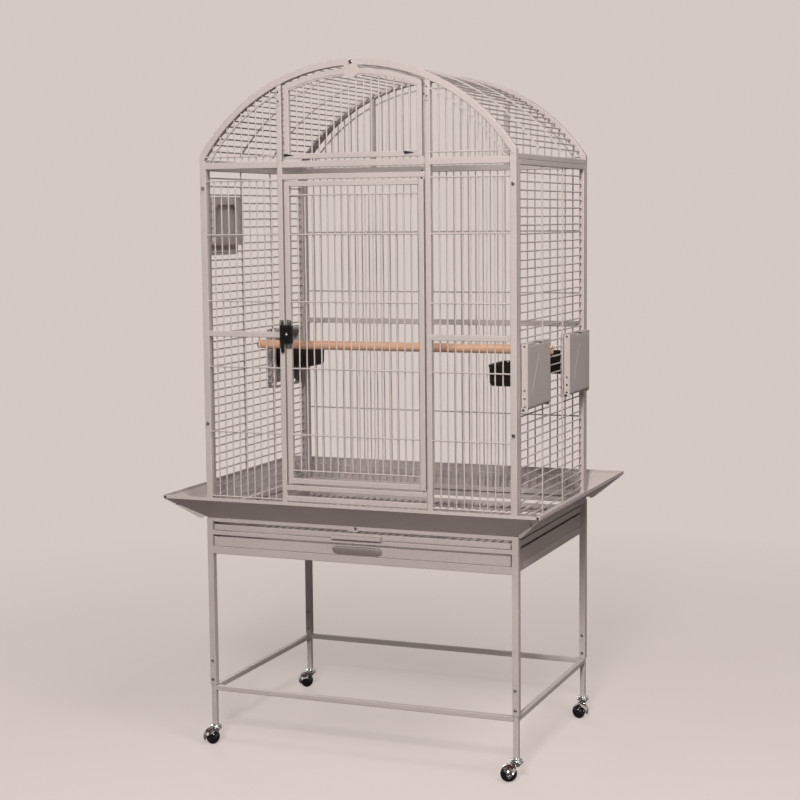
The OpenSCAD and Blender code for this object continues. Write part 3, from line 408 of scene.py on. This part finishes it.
# screws that the catch disc and the drawer catch turn on
pivotScrew = {"shank": (2.4, 2.3), "rise": 2.2, "disc": 4.5, "catch": 3.5, "catchX": -2}
pivotLow, pivotHigh = corners("pivot_screws")
legFront = corners("stand_front")[0][1]
addPiece("pivotScrewHeads", [
    screwHead(np.array((0, frontY, pivotHigh[2] - pivotScrew["disc"])), -yAxis, pivotScrew["disc"],
              pivotScrew["rise"], "cross", pivotScrew["shank"]),
    screwHead(np.array((pivotScrew["catchX"], legFront, pivotLow[2] + pivotScrew["catch"])), -yAxis,
              pivotScrew["catch"], pivotScrew["rise"], "cross", pivotScrew["shank"]),
], "cage", greySteel, ("pivot_screws",))

# brackets that carry the hatch pins, screwed to the inner posts
bracket = {"x": 190.5, "z": 1618.5, "width": 11, "height": 45, "thick": 1.3, "round": 2.5,
           "edge": 0.4, "screws": (-11.5, 10.5), "screwRadius": 2.6, "screwRise": 1.3}
for sideName, sign in (("left", -1), ("right", 1)):
    spot = np.array((sign * bracket["x"], frontY, bracket["z"]))
    addPiece("hatchBracket_" + sideName, [
        slab(bracket["width"], bracket["height"], bracket["round"],
             softEdges(bracket["thick"], bracket["edge"]), spot, frontAxes)
    ], "cage", coatPaint)
    addPiece("bracketScrews_" + sideName, [
        screwHead(spot + up * zAxis - bracket["thick"] * yAxis, -yAxis, bracket["screwRadius"],
                  bracket["screwRise"], "cross")
        for up in bracket["screws"]
    ], "cage", greySteel)

# two leaf shaped tabs that lean out of the hatch's bottom rail and run to a point
# width share = sqrt(u / swell) up to the widest place, times (1 - u)^point towards the tip
tab = {"starts": (-176, 133), "length": 25, "out": 11, "rise": 7, "thick": 0.9, "foot": 5, "tipRise": 3,
       "swell": 0.12, "point": 0.7}
hatchFoot = corners("hatch_frame")[0][2]
leafWay = np.linspace(0, 1, 25)
leaf = np.sqrt(np.clip(leafWay / tab["swell"], 0, 1)) * (1 - leafWay) ** tab["point"]
leafLean = np.array([(0, 0), (tab["out"], tab["rise"]), (tab["out"], tab["rise"] + tab["thick"]),
                     (0, tab["thick"])])
for sideName, start in zip(("left", "right"), tab["starts"]):
    grid = np.stack(np.broadcast_arrays(
        (start + leafWay * tab["length"])[:, None], frontY - leaf[:, None] * leafLean[:, 0],
        hatchFoot + tab["foot"] + tab["tipRise"] * leafWay[:, None] + leaf[:, None] * leafLean[:, 1]), -1)
    # the tabs take the black latch plastic: the black is painted shade for the dark gaps at both lower
    # corners of the hatch
    addPiece("hatchTab_" + sideName, [(grid, False, True)], "hatch", latchBlack)
print("screws, brackets and tabs")

# flanges under the mitred corners of the guards: drop grows from the rim to a rounded lower end
flange = {"drop": 11, "thick": 1.3, "from": 0.03, "to": 0.95, "roundFrom": 0.86, "bolt": 0.24, "boltIn": 9,
          "boltRadius": 3.2, "boltRise": 2.2, "rimDown": 8}
guardLow, guardHigh = corners("guard_right")
cornerOut = np.array((guardHigh[0], -corners("guard_front")[0][1], guardHigh[2] - flange["rimDown"]))
cornerIn = np.array((corners("right_frame")[1][0], -frontY, guardLow[2]))
flangeWay = np.linspace(0, 1, 41)
past = np.clip((flangeWay - flange["roundFrom"]) / (1 - flange["roundFrom"]), 0, 1)
flangeDrop = flange["drop"] * flangeWay * np.sqrt(1 - past ** 2)
guardSlope = np.array((0, cornerOut[1] - cornerIn[1], cornerOut[2] - cornerIn[2]))
for cornerName, signX, signY in (("front_left", -1, -1), ("front_right", 1, -1), ("rear_right", 1, 1),
                                 ("rear_left", -1, 1)):
    flip = np.array((signX, signY, 1))
    seam = (cornerIn - cornerOut) * flip
    along = seam / np.linalg.norm(seam)
    out = np.cross(along, zAxis) / np.linalg.norm(np.cross(along, zAxis))
    down = np.cross(out, along) * np.sign(np.dot(np.cross(out, along), -zAxis))
    way = flange["from"] + flangeWay * (flange["to"] - flange["from"])
    rim = (cornerOut * flip + way[:, None] * seam)[:, None]
    hang = (flangeDrop[:, None] * np.array((0, 1, 1, 0)))[..., None] * down
    wall = (np.array((-0.5, -0.5, 0.5, 0.5)) * flange["thick"])[None, :, None] * out
    addPiece("cornerFlange_" + cornerName, [(rim + hang + wall, False, True)], "cage", coatPaint)
    under = np.array((0, signY * guardSlope[2], -guardSlope[1])) / np.linalg.norm(guardSlope)
    bolt = cornerOut * flip + seam * flange["bolt"] - signX * flange["boltIn"] * xAxis
    addPiece("flangeBolt_" + cornerName, [
        screwHead(bolt, under, flange["boltRadius"], flange["boltRise"], "hexagon")
    ], "cage", greySteel)
print("guard corners")

# door latch: plated plates, black moulded lever with a raised pad and a tail
latch = {"plateRound": 3, "plateEdge": 0.6, "screwUp": 30, "screwRadius": 3.2, "screwRise": 1.5,
         "pivotX": -173.0}
plateLow, plateHigh = corners("latch_plate")
keeperLow, keeperHigh = corners("latch_keeper")
leverLow, leverHigh = corners("latch_lever")
plateThick = keeperHigh[1] - keeperLow[1]
latchZ = (keeperLow[2] + keeperHigh[2]) / 2


def latchPlate(low, high):
    middle = np.array(((low[0] + high[0]) / 2, frontY, latchZ))
    face = middle - plateThick * yAxis
    plate = slab(high[0] - low[0], high[2] - low[2], latch["plateRound"],
                 softEdges(plateThick, latch["plateEdge"]), middle, frontAxes)
    return [plate] + [screwHead(face + up * zAxis, -yAxis, latch["screwRadius"], latch["screwRise"], "cross")
                      for up in (-latch["screwUp"], latch["screwUp"])]


rivet = revolve([(0, 0), (2.4, 0), (2.4, 9.9), (3.6, 9.9), (3.6, 10.8), (3.0, 11.6), (1.6, 12.0), (0, 12.1)],
                np.array((latch["pivotX"], frontY - plateThick, latchZ)), -yAxis)
addPiece("latchDoorPlate", latchPlate(plateLow, plateHigh) + [rivet], "door", brightPlate,
         ("latch_plate",))
addPiece("latchPostPlate", latchPlate(keeperLow, keeperHigh), "cage", brightPlate,
         ("latch_keeper",))

lever = {"height": 45, "over": 7, "split": 11, "groove": 0.9, "lowPart": 1.6, "round": 2.6,
         "core": 3, "coreThin": 4, "coreRound": 1, "coreEdge": 0.3}
tail = {"width": 8, "into": 6, "in": 7, "back": 2, "round": 3.9, "thick": 5, "edge": 1.6}
leverThick = leverHigh[1] - leverLow[1]
leverEnd = leverHigh[0] + lever["over"]


# one half of the lever: soft outer edge, then a raised pad
def leverHalf(left, right, thick):
    levels = [(0.9, 0), (0.2, 0.4), (0, 1.1), (0, thick - 3.0), (0.5, thick - 1.9), (1.5, thick - 1.1),
              (2.4, thick - 1.0), (2.9, thick - 0.5), (3.6, thick - 0.1), (4.6, thick)]
    place = np.array(((left + right) / 2, leverHigh[1], latchZ))
    return slab(right - left, lever["height"], lever["round"], levels, place, frontAxes)


splitX = leverLow[0] + lever["split"]
tailTop = latchZ - lever["height"] / 2 + tail["into"]
tailMiddle = np.array((leverLow[0] + tail["in"], leverHigh[1] - tail["back"], (leverLow[2] + tailTop) / 2))
addPiece("latchLever", [
    leverHalf(leverLow[0], splitX - lever["groove"] / 2, leverThick - lever["lowPart"]),
    leverHalf(splitX + lever["groove"] / 2, leverEnd, leverThick),
    slab(splitX - leverLow[0] - lever["core"], lever["height"] - 2 * lever["core"], lever["coreRound"],
         softEdges(leverThick - lever["coreThin"], lever["coreEdge"]),
         np.array((splitX, leverHigh[1], latchZ)), frontAxes),
    slab(tail["width"], tailTop - leverLow[2], tail["round"], softEdges(tail["thick"], tail["edge"], 5),
         tailMiddle, frontAxes),
], "latch", latchBlack, ("latch_lever",))
print("latch")

# feed cups: a moulded box with a rolled rim, outer wall up and inner wall down, as (inset, height)
cupRound = 16
cupWall = [(16, 0), (10, 0.4), (6, 2), (3.6, 5), (2.6, 10), (2.0, 34), (1.6, 44), (0.6, 45), (0, 46.2),
           (0, 50), (0.5, 51.3), (1.5, 52), (2.6, 51.6), (3.2, 50.4), (3.8, 44), (4.4, 12), (5.4, 7), (8, 4),
           (12, 2.8), (18, 2.4)]
for spotName in ("front_right", "rear_right", "rear_left"):
    low, high = corners("cup_" + spotName)
    middle = np.array(((low[0] + high[0]) / 2, (low[1] + high[1]) / 2, low[2]))
    cup = slab(high[0] - low[0], high[1] - low[1], cupRound, cupWall, middle, planAxes)
    addPiece("feedCup_" + spotName, [cup], "feeder_" + spotName, cupBlack,
             ("cup_" + spotName,), sharp=60)

# feeder door skins: thin sheet with two pressed ribs that lean together towards the top
# height = lift * sqrt(distance to the border / edge) + rib * fade * exp(-(distance to a rib / half width)^2)
skin = {"inset": 0.5, "lift": 0.25, "sunk": 0.5, "edge": 1.5, "rib": 1.0, "ribHalf": 1.5, "apex": 0.84,
        "foot": 0.14, "spread": 0.34, "past": 0.02, "apexFade": 0.05, "footFade": 0.12, "lowEdge": 10.5,
        "topEdge": 6, "rivets": (13, 32, 51, 153), "rivetIn": 7.5, "rivetRadius": 2.6, "rivetRise": 0.9}
for spotName in ("front_right", "rear_right", "rear_left"):
    low, high = corners("feeder_door_" + spotName)
    sign = 1 if high[0] > 0 else -1
    face = high[0] if sign > 0 else low[0]
    wide, tall = high[1] - low[1] - 2 * skin["inset"], high[2] - low[2] - skin["lowEdge"] - skin["topEdge"]
    v, u = np.meshgrid(np.linspace(0, 1, 110), np.linspace(0, 1, 120), indexing="ij")
    border = np.minimum(np.minimum(u, 1 - u) * wide, np.minimum(v, 1 - v) * tall)
    ribLean = skin["spread"] * (skin["apex"] - v) / (skin["apex"] - skin["foot"])
    away = (np.abs(u - 0.5) - ribLean) * wide
    topFade = np.clip((skin["apex"] + skin["past"] - v) / skin["apexFade"], 0, 1)
    lowFade = np.clip((v - skin["foot"]) / skin["footFade"], 0, 1)
    pressed = skin["rib"] * topFade * lowFade * np.exp(-(away / skin["ribHalf"]) ** 2)
    height = skin["lift"] * np.clip(border / skin["edge"], 0, 1) ** 0.5 + pressed
    height = np.where(border < 1e-6, -skin["sunk"], height)
    y, z = low[1] + skin["inset"] + u * wide, low[2] + skin["lowEdge"] + v * tall
    outer = np.stack([face + sign * height, y, z], -1)
    inner = np.stack([np.full_like(y, face - sign * skin["sunk"]), y, z], -1)
    addPiece("feederSkin_" + spotName, [(outer, False, False), (inner, False, False)], "feeder_" + spotName,
             coatPaint)
    rivetX = face - sign * skin["rivetIn"]
    addPiece("feederRivets_" + spotName, [
        screwHead(np.array((rivetX, low[1], low[2] + up)), -yAxis, skin["rivetRadius"], skin["rivetRise"],
                  "cross")
        for up in skin["rivets"]
    ], "feeder_" + spotName, greySteel)
print("feeders")

# nest door frame: a shallow pan with an arched hole, open to the outside, and two hinge lugs
nest = {"sheet": 1.4, "bend": 0.9, "round": 26, "foot": 2, "corner": 2.5, "rimX": -404.95, "holeEdge": 0.5,
        "holeY": (-236.5, -116.5), "holeZ": (1286.2, 1364.3)}
lug = {"thick": 5, "tall": 8, "round": 2, "edge": 0.5, "pinDown": 3}
nestLow, nestHigh = corners("nest_frame")
panMiddle = np.array(((nestLow[1] + nestHigh[1]) / 2, (nestLow[2] + nestHigh[2]) / 2))
panSize = np.array((nestHigh[1] - nestLow[1], nestHigh[2] - nestLow[2]))
holeMiddle = np.array((sum(nest["holeY"]) / 2, sum(nest["holeZ"]) / 2))
holeSize = np.array((nest["holeY"][1] - nest["holeY"][0], nest["holeZ"][1] - nest["holeZ"][0]))


def nestLoop(middle, size, grow, radii, x):
    wide, tall = size + 2 * grow
    loop = middle + cornerLoop(wide, tall, [max(r + grow, 0.3) for r in radii], 10)
    return np.stack([np.full(len(loop), x), loop[:, 0], loop[:, 1]], -1)


def panLoop(grow, x):
    return nestLoop(panMiddle, panSize, grow, [nest["corner"]] * 4, x)


def holeLoop(grow, x):
    return nestLoop(holeMiddle, holeSize, grow, [nest["round"]] * 2 + [nest["foot"]] * 2, x)


inFace, bend, sheet = nestHigh[0], nest["bend"], nest["sheet"]
nestPan = np.stack([
    panLoop(0, nest["rimX"]), panLoop(0, inFace - bend), panLoop(-0.3 * bend, inFace - 0.3 * bend),
    panLoop(-bend, inFace), holeLoop(nest["holeEdge"], inFace), holeLoop(0, inFace - nest["holeEdge"]),
    holeLoop(0, inFace - sheet), panLoop(-sheet, inFace - sheet), panLoop(-sheet, nest["rimX"]),
])
pinZ = corners("nest_door")[1][2] - lug["pinDown"]
lugs = [slab(nest["rimX"] - nestLow[0], lug["tall"], lug["round"], softEdges(lug["thick"], lug["edge"]),
             np.array(((nestLow[0] + nest["rimX"]) / 2, y, pinZ)), alongAxes)
        for y in (nestLow[1], nestHigh[1] - lug["thick"])]
addPiece("nestFrame", [(nestPan, True, True)] + lugs, "cage", coatPaint, ("nest_frame",))
print("nest door")

# tray pull: a bent sheet with closed round ends, its face leaning in towards the lower edge
# the section shrinks towards both ends: size at u along it = sqrt(1 - |u|^endPower)
pull = {"sheet": 1.2, "endPower": 14,
        "bend": [(0, 1), (0.78, 1), (0.90, 0.985), (0.97, 0.94), (1, 0.87), (0.97, 0.78),
                 (0.60, 0.38), (0.24, 0)]}
pullLow, pullHigh = corners("tray_pull")
pullOut, pullDrop = pullHigh[1] - pullLow[1], pullHigh[2] - pullLow[2]
pullWay = np.sin(np.linspace(-math.pi / 2, math.pi / 2, 81))
taper = (1 - np.abs(pullWay) ** pull["endPower"]) ** 0.5
outside = np.array(pull["bend"]) * (pullOut, pullDrop)
inside = np.maximum(outside[::-1] - pull["sheet"], 0)
ring = np.concatenate([outside, inside])
middleUp = pullDrop / 2
trayPull = np.stack(np.broadcast_arrays(
    (pullWay * (pullHigh[0] - pullLow[0]) / 2)[:, None],
    pullHigh[1] - taper[:, None] * ring[:, 0],
    pullLow[2] + middleUp + taper[:, None] * (ring[:, 1] - middleUp)), -1)
# the darker coat paints shade on the pull's face
addPiece("trayPull", [(trayPull, False, True)], "tray_drawer", pullShadedPaint, ("tray_pull",), sharp=50)

# side runners: a top rail and folded bands, a deep channel behind each groove and a ledge for each drawer
# bands, ledges and backs are given by how far they lie below the top of the rail
runner = {"sheet": 1.2, "bend": 0.5, "rail": 10, "railRound": 1.5, "set": 1.5, "ledge": 20, "slot": 10}
runnerBands = ((36.5, 21.5, 0), (75.5, 42, 0), (93, 74.5, 2.2))
runnerLedges = ((74.5, runner["ledge"]), (45, runner["ledge"]), (34, runner["ledge"]),
                (23.5, runner["slot"]), (11, runner["slot"]))
runnerBacks = ((44.4, 33.4, runner["ledge"]), (23, 10.4, runner["slot"]))
runnerPlate = softEdges(runner["sheet"], runner["bend"])


def runnerSheet(length, width, place, axes):
    return slab(length, width, runner["bend"], runnerPlate, np.array(place), axes)


for side, sign in (("right", 1), ("left", -1)):
    low, high = corners(side + "_runner")
    ledgeEnd, railOut = sorted((abs(low[0]), abs(high[0])))
    length, middleY, top = high[1] - low[1], (low[1] + high[1]) / 2, high[2]
    inner = ledgeEnd + runner["ledge"]
    railIn = inner - runner["set"]
    outward = (yAxis, zAxis, sign * xAxis)
    railEdges = softEdges(railOut - railIn, runner["railRound"])
    sheets = [slab(length, runner["rail"], runner["railRound"], railEdges,
                   np.array((sign * railIn, middleY, top - runner["rail"] / 2)), outward)]
    for foot, head, step in runnerBands:
        place = (sign * (inner + step), middleY, top - (foot + head) / 2)
        sheets.append(runnerSheet(length, foot - head, place, outward))
    for down, deep in runnerLedges:
        place = (sign * (inner - deep / 2), middleY, top - down)
        sheets.append(runnerSheet(length, deep, place, (yAxis, xAxis, zAxis)))
    for foot, head, deep in runnerBacks:
        place = (sign * (inner - deep), middleY, top - (foot + head) / 2)
        sheets.append(runnerSheet(length, foot - head, place, outward))
    # the upper channel is closed at both ends
    foot, head, deep = runnerBacks[-1]
    for y in (low[1] + runner["sheet"], high[1] - 2 * runner["sheet"]):
        place = (sign * (inner - deep / 2), y, top - (foot + head) / 2)
        sheets.append(runnerSheet(deep, foot - head, place, alongAxes))
    addPiece("runnerSheets_" + side, sheets, "cage", coatPaint, (side + "_runner",))

# grate: wires from a front plate to a rear plate of the same height, rims at the sides, flat bars below
grate = {"wires": 37, "wire": 1.75, "wireUp": 5.5, "plate": 3, "rim": 4, "rimHigh": 7.5, "bars": 3, "bar": 3,
         "round": 0.6, "tuck": 2}
grateLow, grateHigh = corners("grate")
grateMiddle, grateSize = (grateLow + grateHigh) / 2, grateHigh - grateLow
short = grateSize - 2 * grate["tuck"]


def grateBox(width, height, thick, place, axes):
    return slab(width, height, grate["round"], softEdges(thick, grate["round"]), np.array(place), axes)


# count places between low and low + size, evenly spread
def spread(low, size, count):
    return low + size / (count + 1) * np.arange(1, count + 1)


plates = [grateBox(grateSize[0], grateSize[2], grate["plate"], (grateMiddle[0], y, grateMiddle[2]), alongAxes)
          for y in (grateLow[1], grateHigh[1] - grate["plate"])]
rimZ = grateLow[2] + grate["rimHigh"] / 2
rims = [grateBox(short[1], grate["rimHigh"], grate["rim"], (x, grateMiddle[1], rimZ), (yAxis, zAxis, xAxis))
        for x in (grateLow[0], grateHigh[0] - grate["rim"])]
bars = [grateBox(short[0], grate["bar"], grate["wireUp"], (grateMiddle[0], y, grateLow[2]), planAxes)
        for y in spread(grateLow[1], grateSize[1], grate["bars"])]
wireProfile = [(0, 0), (grate["wire"], 0), (grate["wire"], short[1]), (0, short[1])]
wireY, wireZ = grateLow[1] + grate["tuck"], grateLow[2] + grate["wireUp"]
wires = [revolve(wireProfile, np.array((x, wireY, wireZ)), yAxis, 14)
         for x in spread(grateLow[0], grateSize[0], grate["wires"])]
addPiece("grateWires", plates + rims + bars + wires, "grate_drawer", coatPaint, ("grate",))
print("tray pull, runners and grate")

# casters: stepped cap on the leg, black ball, plated petal over one side down to the axle end
caster = {"legX": 400.5, "legY": 283.0, "trail": 19.0, "axle": 20.0, "petalOut": 23.0, "petalIn": 21.8,
          "liningGap": 0.3, "lining": 21.0, "ball": 20.0, "ballOut": 19.2, "ballIn": 14.0, "lean": 8,
          "axleRadius": 2.5, "axleBack": 12, "axlePast": 0.5}
# sides of the cage and the angle that each caster trails at, in degrees
spots = {"front_left": (-1, -1, 149), "front_right": (1, -1, 202), "rear_right": (1, 1, 260),
         "rear_left": (-1, 1, 155)}
stemProfile = [(0, 46.5), (3.9, 46.5), (3.9, 52.4), (13.4, 52.4), (14.4, 52.8), (14.8, 53.6), (14.4, 54.5),
               (13.0, 55.1), (10.0, 55.4), (9.4, 55.8), (9.2, 57.2), (8.6, 57.8), (0, 57.9)]
capProfile = [(4.1, 52), (11.6, 52), (11.8, 51.3), (14.8, 50.9), (15.6, 50.1), (15.7, 46.8), (15.0, 45.8),
              (12.6, 45.2), (12.0, 44.0), (10.4, 42.6), (9.2, 40.4), (8.4, 38.8), (7.0, 37.2), (4.1, 36.8)]
# ball: two quarter ellipses, the near one cut off at a flat hub
ballTurn = np.linspace(0, math.pi / 2, 24)
nearTurn, farTurn = ballTurn[16::-1], ballTurn[1:]
ballNear = np.stack([caster["ball"] * np.cos(nearTurn), caster["ballIn"] * np.sin(nearTurn)], -1)
ballFar = np.stack([caster["ball"] * np.cos(farTurn), -caster["ballOut"] * np.sin(farTurn)], -1)
ballProfile = np.concatenate([[(0, 11.6), (8.6, 11.6)], ballNear, ballFar])
axleEnd = caster["petalIn"] + caster["axlePast"]
axleProfile = [(0, -caster["axleBack"]), (caster["axleRadius"], -caster["axleBack"]),
               (caster["axleRadius"], axleEnd), (0, axleEnd)]
tipRivet = [(0, -1.5), (3.0, -1.5), (3.0, 0.5), (2.4, 1.0), (1.2, 1.3), (0, 1.4)]
# petal on a ball of radius r: r (cos b (cos t side + sin t up) + sin b across), b = half width / petalOut
# outline and window are eggs: t = middle + reach cos f, half width = (narrow + wide (1 + cos f) / 2) sin f
petal = {"outline": (46, 63, 7.0, 17.0), "window": (56.0, 25.0, 3.6, 9.5), "columns": 7}
petalRound = np.linspace(0, 2 * math.pi, 64, endpoint=False)


def petalEgg(middle, reach, narrow, wide):
    turn = np.radians(middle + reach * np.cos(petalRound))
    return turn, (narrow + wide * (1 + np.cos(petalRound)) / 2) * np.sin(petalRound)


# sheet of (turn, half width) pairs laid on balls of the given radii
def onBall(sheet, radius, side, up):
    turn, sweep = sheet[..., :1], sheet[..., 1:] / caster["petalOut"]
    spine = np.cos(turn) * side + np.sin(turn) * up
    return radius * (np.cos(sweep) * spine + np.sin(sweep) * np.cross(up, side))


eggs = [np.stack(petalEgg(*petal[name]), -1) for name in ("outline", "window")]
share = np.linspace(0, 1, petal["columns"])[None, :, None]
petalSheet = eggs[0][:, None] * (1 - share) + eggs[1][:, None] * share
petalSheet = np.concatenate([petalSheet, petalSheet[:, ::-1]], 1)
petalRadius = np.repeat([caster["petalOut"], caster["petalIn"]], petal["columns"])
# brown lining just behind the window, closed at the middle of both faces
rings = np.array((0, 0.5, 1, 1.3, 1.3, 1, 0.5, 0))[:, None, None]
windowMiddle = np.array((math.radians(petal["window"][0]), 0))
liningSheet = windowMiddle + rings * (eggs[1] - windowMiddle)
liningRadius = np.repeat([caster["petalIn"] - caster["liningGap"], caster["lining"]], 4)
tilt = math.radians(caster["lean"])
for spotName, (signX, signY, angle) in spots.items():
    base = np.array((signX * caster["legX"], signY * caster["legY"], 0))
    ahead = np.array((math.cos(math.radians(angle)), math.sin(math.radians(angle)), 0))
    lateral = np.cross(zAxis, ahead)
    hub = base + caster["trail"] * ahead + caster["axle"] * zAxis
    up = math.cos(tilt) * zAxis - math.sin(tilt) * ahead
    shell = hub + onBall(petalSheet, petalRadius[None, :, None], lateral, up)
    lining = hub + onBall(liningSheet, liningRadius[:, None, None], lateral, up)
    cap = revolve(capProfile, base, zAxis, 48)[0]
    axle = revolve(axleProfile, hub, lateral, 24)
    swivel = "swivel_" + spotName
    addPiece("casterLining_" + spotName, [(lining, False, True)], swivel, liningBrown)
    addPiece("casterHood_" + spotName, [(shell, True, True), (cap, True, True), axle], swivel, brightPlate,
             ("hood_" + spotName,), sharp=45)
    addPiece("casterRivet_" + spotName, [revolve(tipRivet, hub + caster["petalOut"] * lateral, lateral, 24)],
             swivel, greySteel)
    addPiece("casterBall_" + spotName, [revolve(ballProfile, hub, lateral, 64)], "wheel_" + spotName,
             wheelBlack, ("wheels_" + spotName,), sharp=45)
addPiece("casterStems", [
    revolve(stemProfile, np.array((signX * caster["legX"], signY * caster["legY"], 0)), zAxis, 48)
    for signX, signY, angle in spots.values()
], "cage", brightPlate, ("caster_stems",), sharp=45)
print("casters")

# floor: lit near the cage, fading to the backdrop colour further out so that no horizon shows
floorLook = {"seen": (0.90, 0.79, 0.79), "bounce": (0.20, 0.175, 0.17), "half": 30.0, "fadeFrom": 0.9,
             "fadeTo": 3.0, "near": 0.62, "roughness": 0.95, "specular": 0.1}
worldLook = {"backdrop": (0.665, 0.582, 0.545), "ambient": (0.60, 0.55, 0.53), "strength": 0.06,
             "room": (0.075, 0.050, 0.040), "roomFade": (-0.45, 0.10)}
photoCamera = {"place": (1.62146, -4.00132, 1.32639), "turn": (83.9092, 0.5469, 22.0349), "lens": 76.59,
               "sensor": 36.0}
studioWhite, warmWhite = (1.0, 0.97, 0.95), (1.0, 0.95, 0.92)
lamps = {
    "key": {"place": (1.1, -4.2, 3.0), "target": (0, 0, 0.85), "size": 0.7, "power": 172,
            "colour": studioWhite},
    "side": {"place": (2.4, -1.6, 4.0), "target": (0, 0, 0.9), "size": 1.4, "power": 76,
             "colour": studioWhite},
    "low": {"place": (2.8, -0.9, 0.35), "target": (0.4, 0, 0.5), "size": 0.8, "power": 9,
            "colour": warmWhite},
    "rear": {"place": (-3.2, 3.4, 2.6), "target": (0, 0, 0.9), "size": 1.6, "power": 50,
             "colour": studioWhite},
    "fill": {"place": (-3.2, -3.0, 2.2), "target": (0, 0, 0.9), "size": 2.4, "power": 18,
             "colour": studioWhite},
}


def fadeGroup():
    group, start, end = newGroup(
        "farFade",
        [("From", "NodeSocketFloat", 1.5), ("To", "NodeSocketFloat", 3.0), ("Near", "NodeSocketFloat", 0.3)],
        [("Far", "NodeSocketFloat")])
    length = group.nodes.new("ShaderNodeVectorMath")
    length.operation = "LENGTH"
    group.links.new(objectCoords(group), length.inputs[0])
    fade = addRange(group, length.outputs["Value"], start.outputs["From"], start.outputs["To"],
                    start.outputs["Near"], 1.0)
    group.links.new(fade, end.inputs["Far"])
    return group


half = floorLook["half"]
floorMesh = bpy.data.meshes.new("floor")
floorMesh.from_pydata([(-half, -half, 0), (half, -half, 0), (half, half, 0), (-half, half, 0)], [],
                      [(0, 1, 2, 3)])
floor = bpy.data.objects.new("floor", floorMesh)
bpy.context.collection.objects.link(floor)
floorPaint, floorTree, floorShader = newMaterial("paleFloor")
floorShader.inputs["Roughness"].default_value = floorLook["roughness"]
floorShader.inputs["Specular IOR Level"].default_value = floorLook["specular"]
far = useGroup(floorTree, fadeGroup(), {
    "From": floorLook["fadeFrom"], "To": floorLook["fadeTo"], "Near": floorLook["near"]})["Far"]
glow = floorTree.nodes.new("ShaderNodeEmission")
glow.inputs["Color"].default_value = (*worldLook["backdrop"], 1)
seen = floorTree.nodes.new("ShaderNodeLightPath").outputs["Is Camera Ray"]
pale = floorTree.nodes.new("ShaderNodeMix")
pale.data_type = "RGBA"
pale.inputs["A"].default_value = (*floorLook["bounce"], 1)
pale.inputs["B"].default_value = (*floorLook["seen"], 1)
floorTree.links.new(seen, pale.inputs["Factor"])
floorTree.links.new(pale.outputs["Result"], floorShader.inputs["Base Color"])
farMix = floorTree.nodes.new("ShaderNodeMixShader")
floorTree.links.new(addMath(floorTree, "MULTIPLY", far, seen), farMix.inputs[0])
floorTree.links.new(floorShader.outputs[0], farMix.inputs[1])
floorTree.links.new(glow.outputs[0], farMix.inputs[2])
floorTree.links.new(farMix.outputs[0], floorTree.nodes["Material Output"].inputs["Surface"])
floorMesh.materials.append(floorPaint)

# the camera sees the pale backdrop, reflections a room that is dark towards the front, the rest weak ambient
world = bpy.data.worlds.new("studio")
world.use_nodes = True
bpy.context.scene.world = world
skyTree = world.node_tree


def addSky(colour, strength=1.0):
    sky = skyTree.nodes.new("ShaderNodeBackground")
    sky.inputs["Color"].default_value = (*colour, 1)
    sky.inputs["Strength"].default_value = strength
    return sky


def mixSky(factor, first, second):
    mix = skyTree.nodes.new("ShaderNodeMixShader")
    skyTree.links.new(factor, mix.inputs[0])
    skyTree.links.new(first.outputs[0], mix.inputs[1])
    skyTree.links.new(second.outputs[0], mix.inputs[2])
    return mix


backdrop = addSky(worldLook["backdrop"])
split = skyTree.nodes.new("ShaderNodeSeparateXYZ")
skyTree.links.new(skyTree.nodes.new("ShaderNodeTexCoord").outputs["Generated"], split.inputs[0])
rear = addRange(skyTree, split.outputs["Y"], *worldLook["roomFade"], 0.0, 1.0)
room = mixSky(rear, addSky(worldLook["room"]), backdrop)
rays = skyTree.nodes.new("ShaderNodeLightPath").outputs
mirrored = addMath(skyTree, "MAXIMUM", rays["Is Glossy Ray"], rays["Is Transmission Ray"])
soft = mixSky(mirrored, addSky(worldLook["ambient"], worldLook["strength"]), room)
sky = mixSky(rays["Is Camera Ray"], soft, backdrop)
skyTree.links.new(sky.outputs[0], skyTree.nodes["World Output"].inputs["Surface"])

for lampName, lamp in lamps.items():
    light = bpy.data.lights.new(lampName + "Light", "AREA")
    light.size = lamp["size"]
    light.energy = lamp["power"]
    light.color = lamp["colour"]
    holder = bpy.data.objects.new(lampName + "Light", light)
    bpy.context.collection.objects.link(holder)
    holder.location = lamp["place"]
    way = np.array(lamp["target"]) - np.array(lamp["place"])
    level = math.hypot(way[0], way[1])
    holder.rotation_euler = (math.atan2(level, -way[2]), 0, math.atan2(-way[0], way[1]))

lens = bpy.data.cameras.new("photoCamera")
lens.lens = photoCamera["lens"]
lens.sensor_width = photoCamera["sensor"]
camera = bpy.data.objects.new("photoCamera", lens)
bpy.context.collection.objects.link(camera)
camera.location = photoCamera["place"]
camera.rotation_euler = [math.radians(a) for a in photoCamera["turn"]]
bpy.context.scene.camera = camera
bpy.context.scene.view_settings.view_transform = "Standard"

print("stage set")
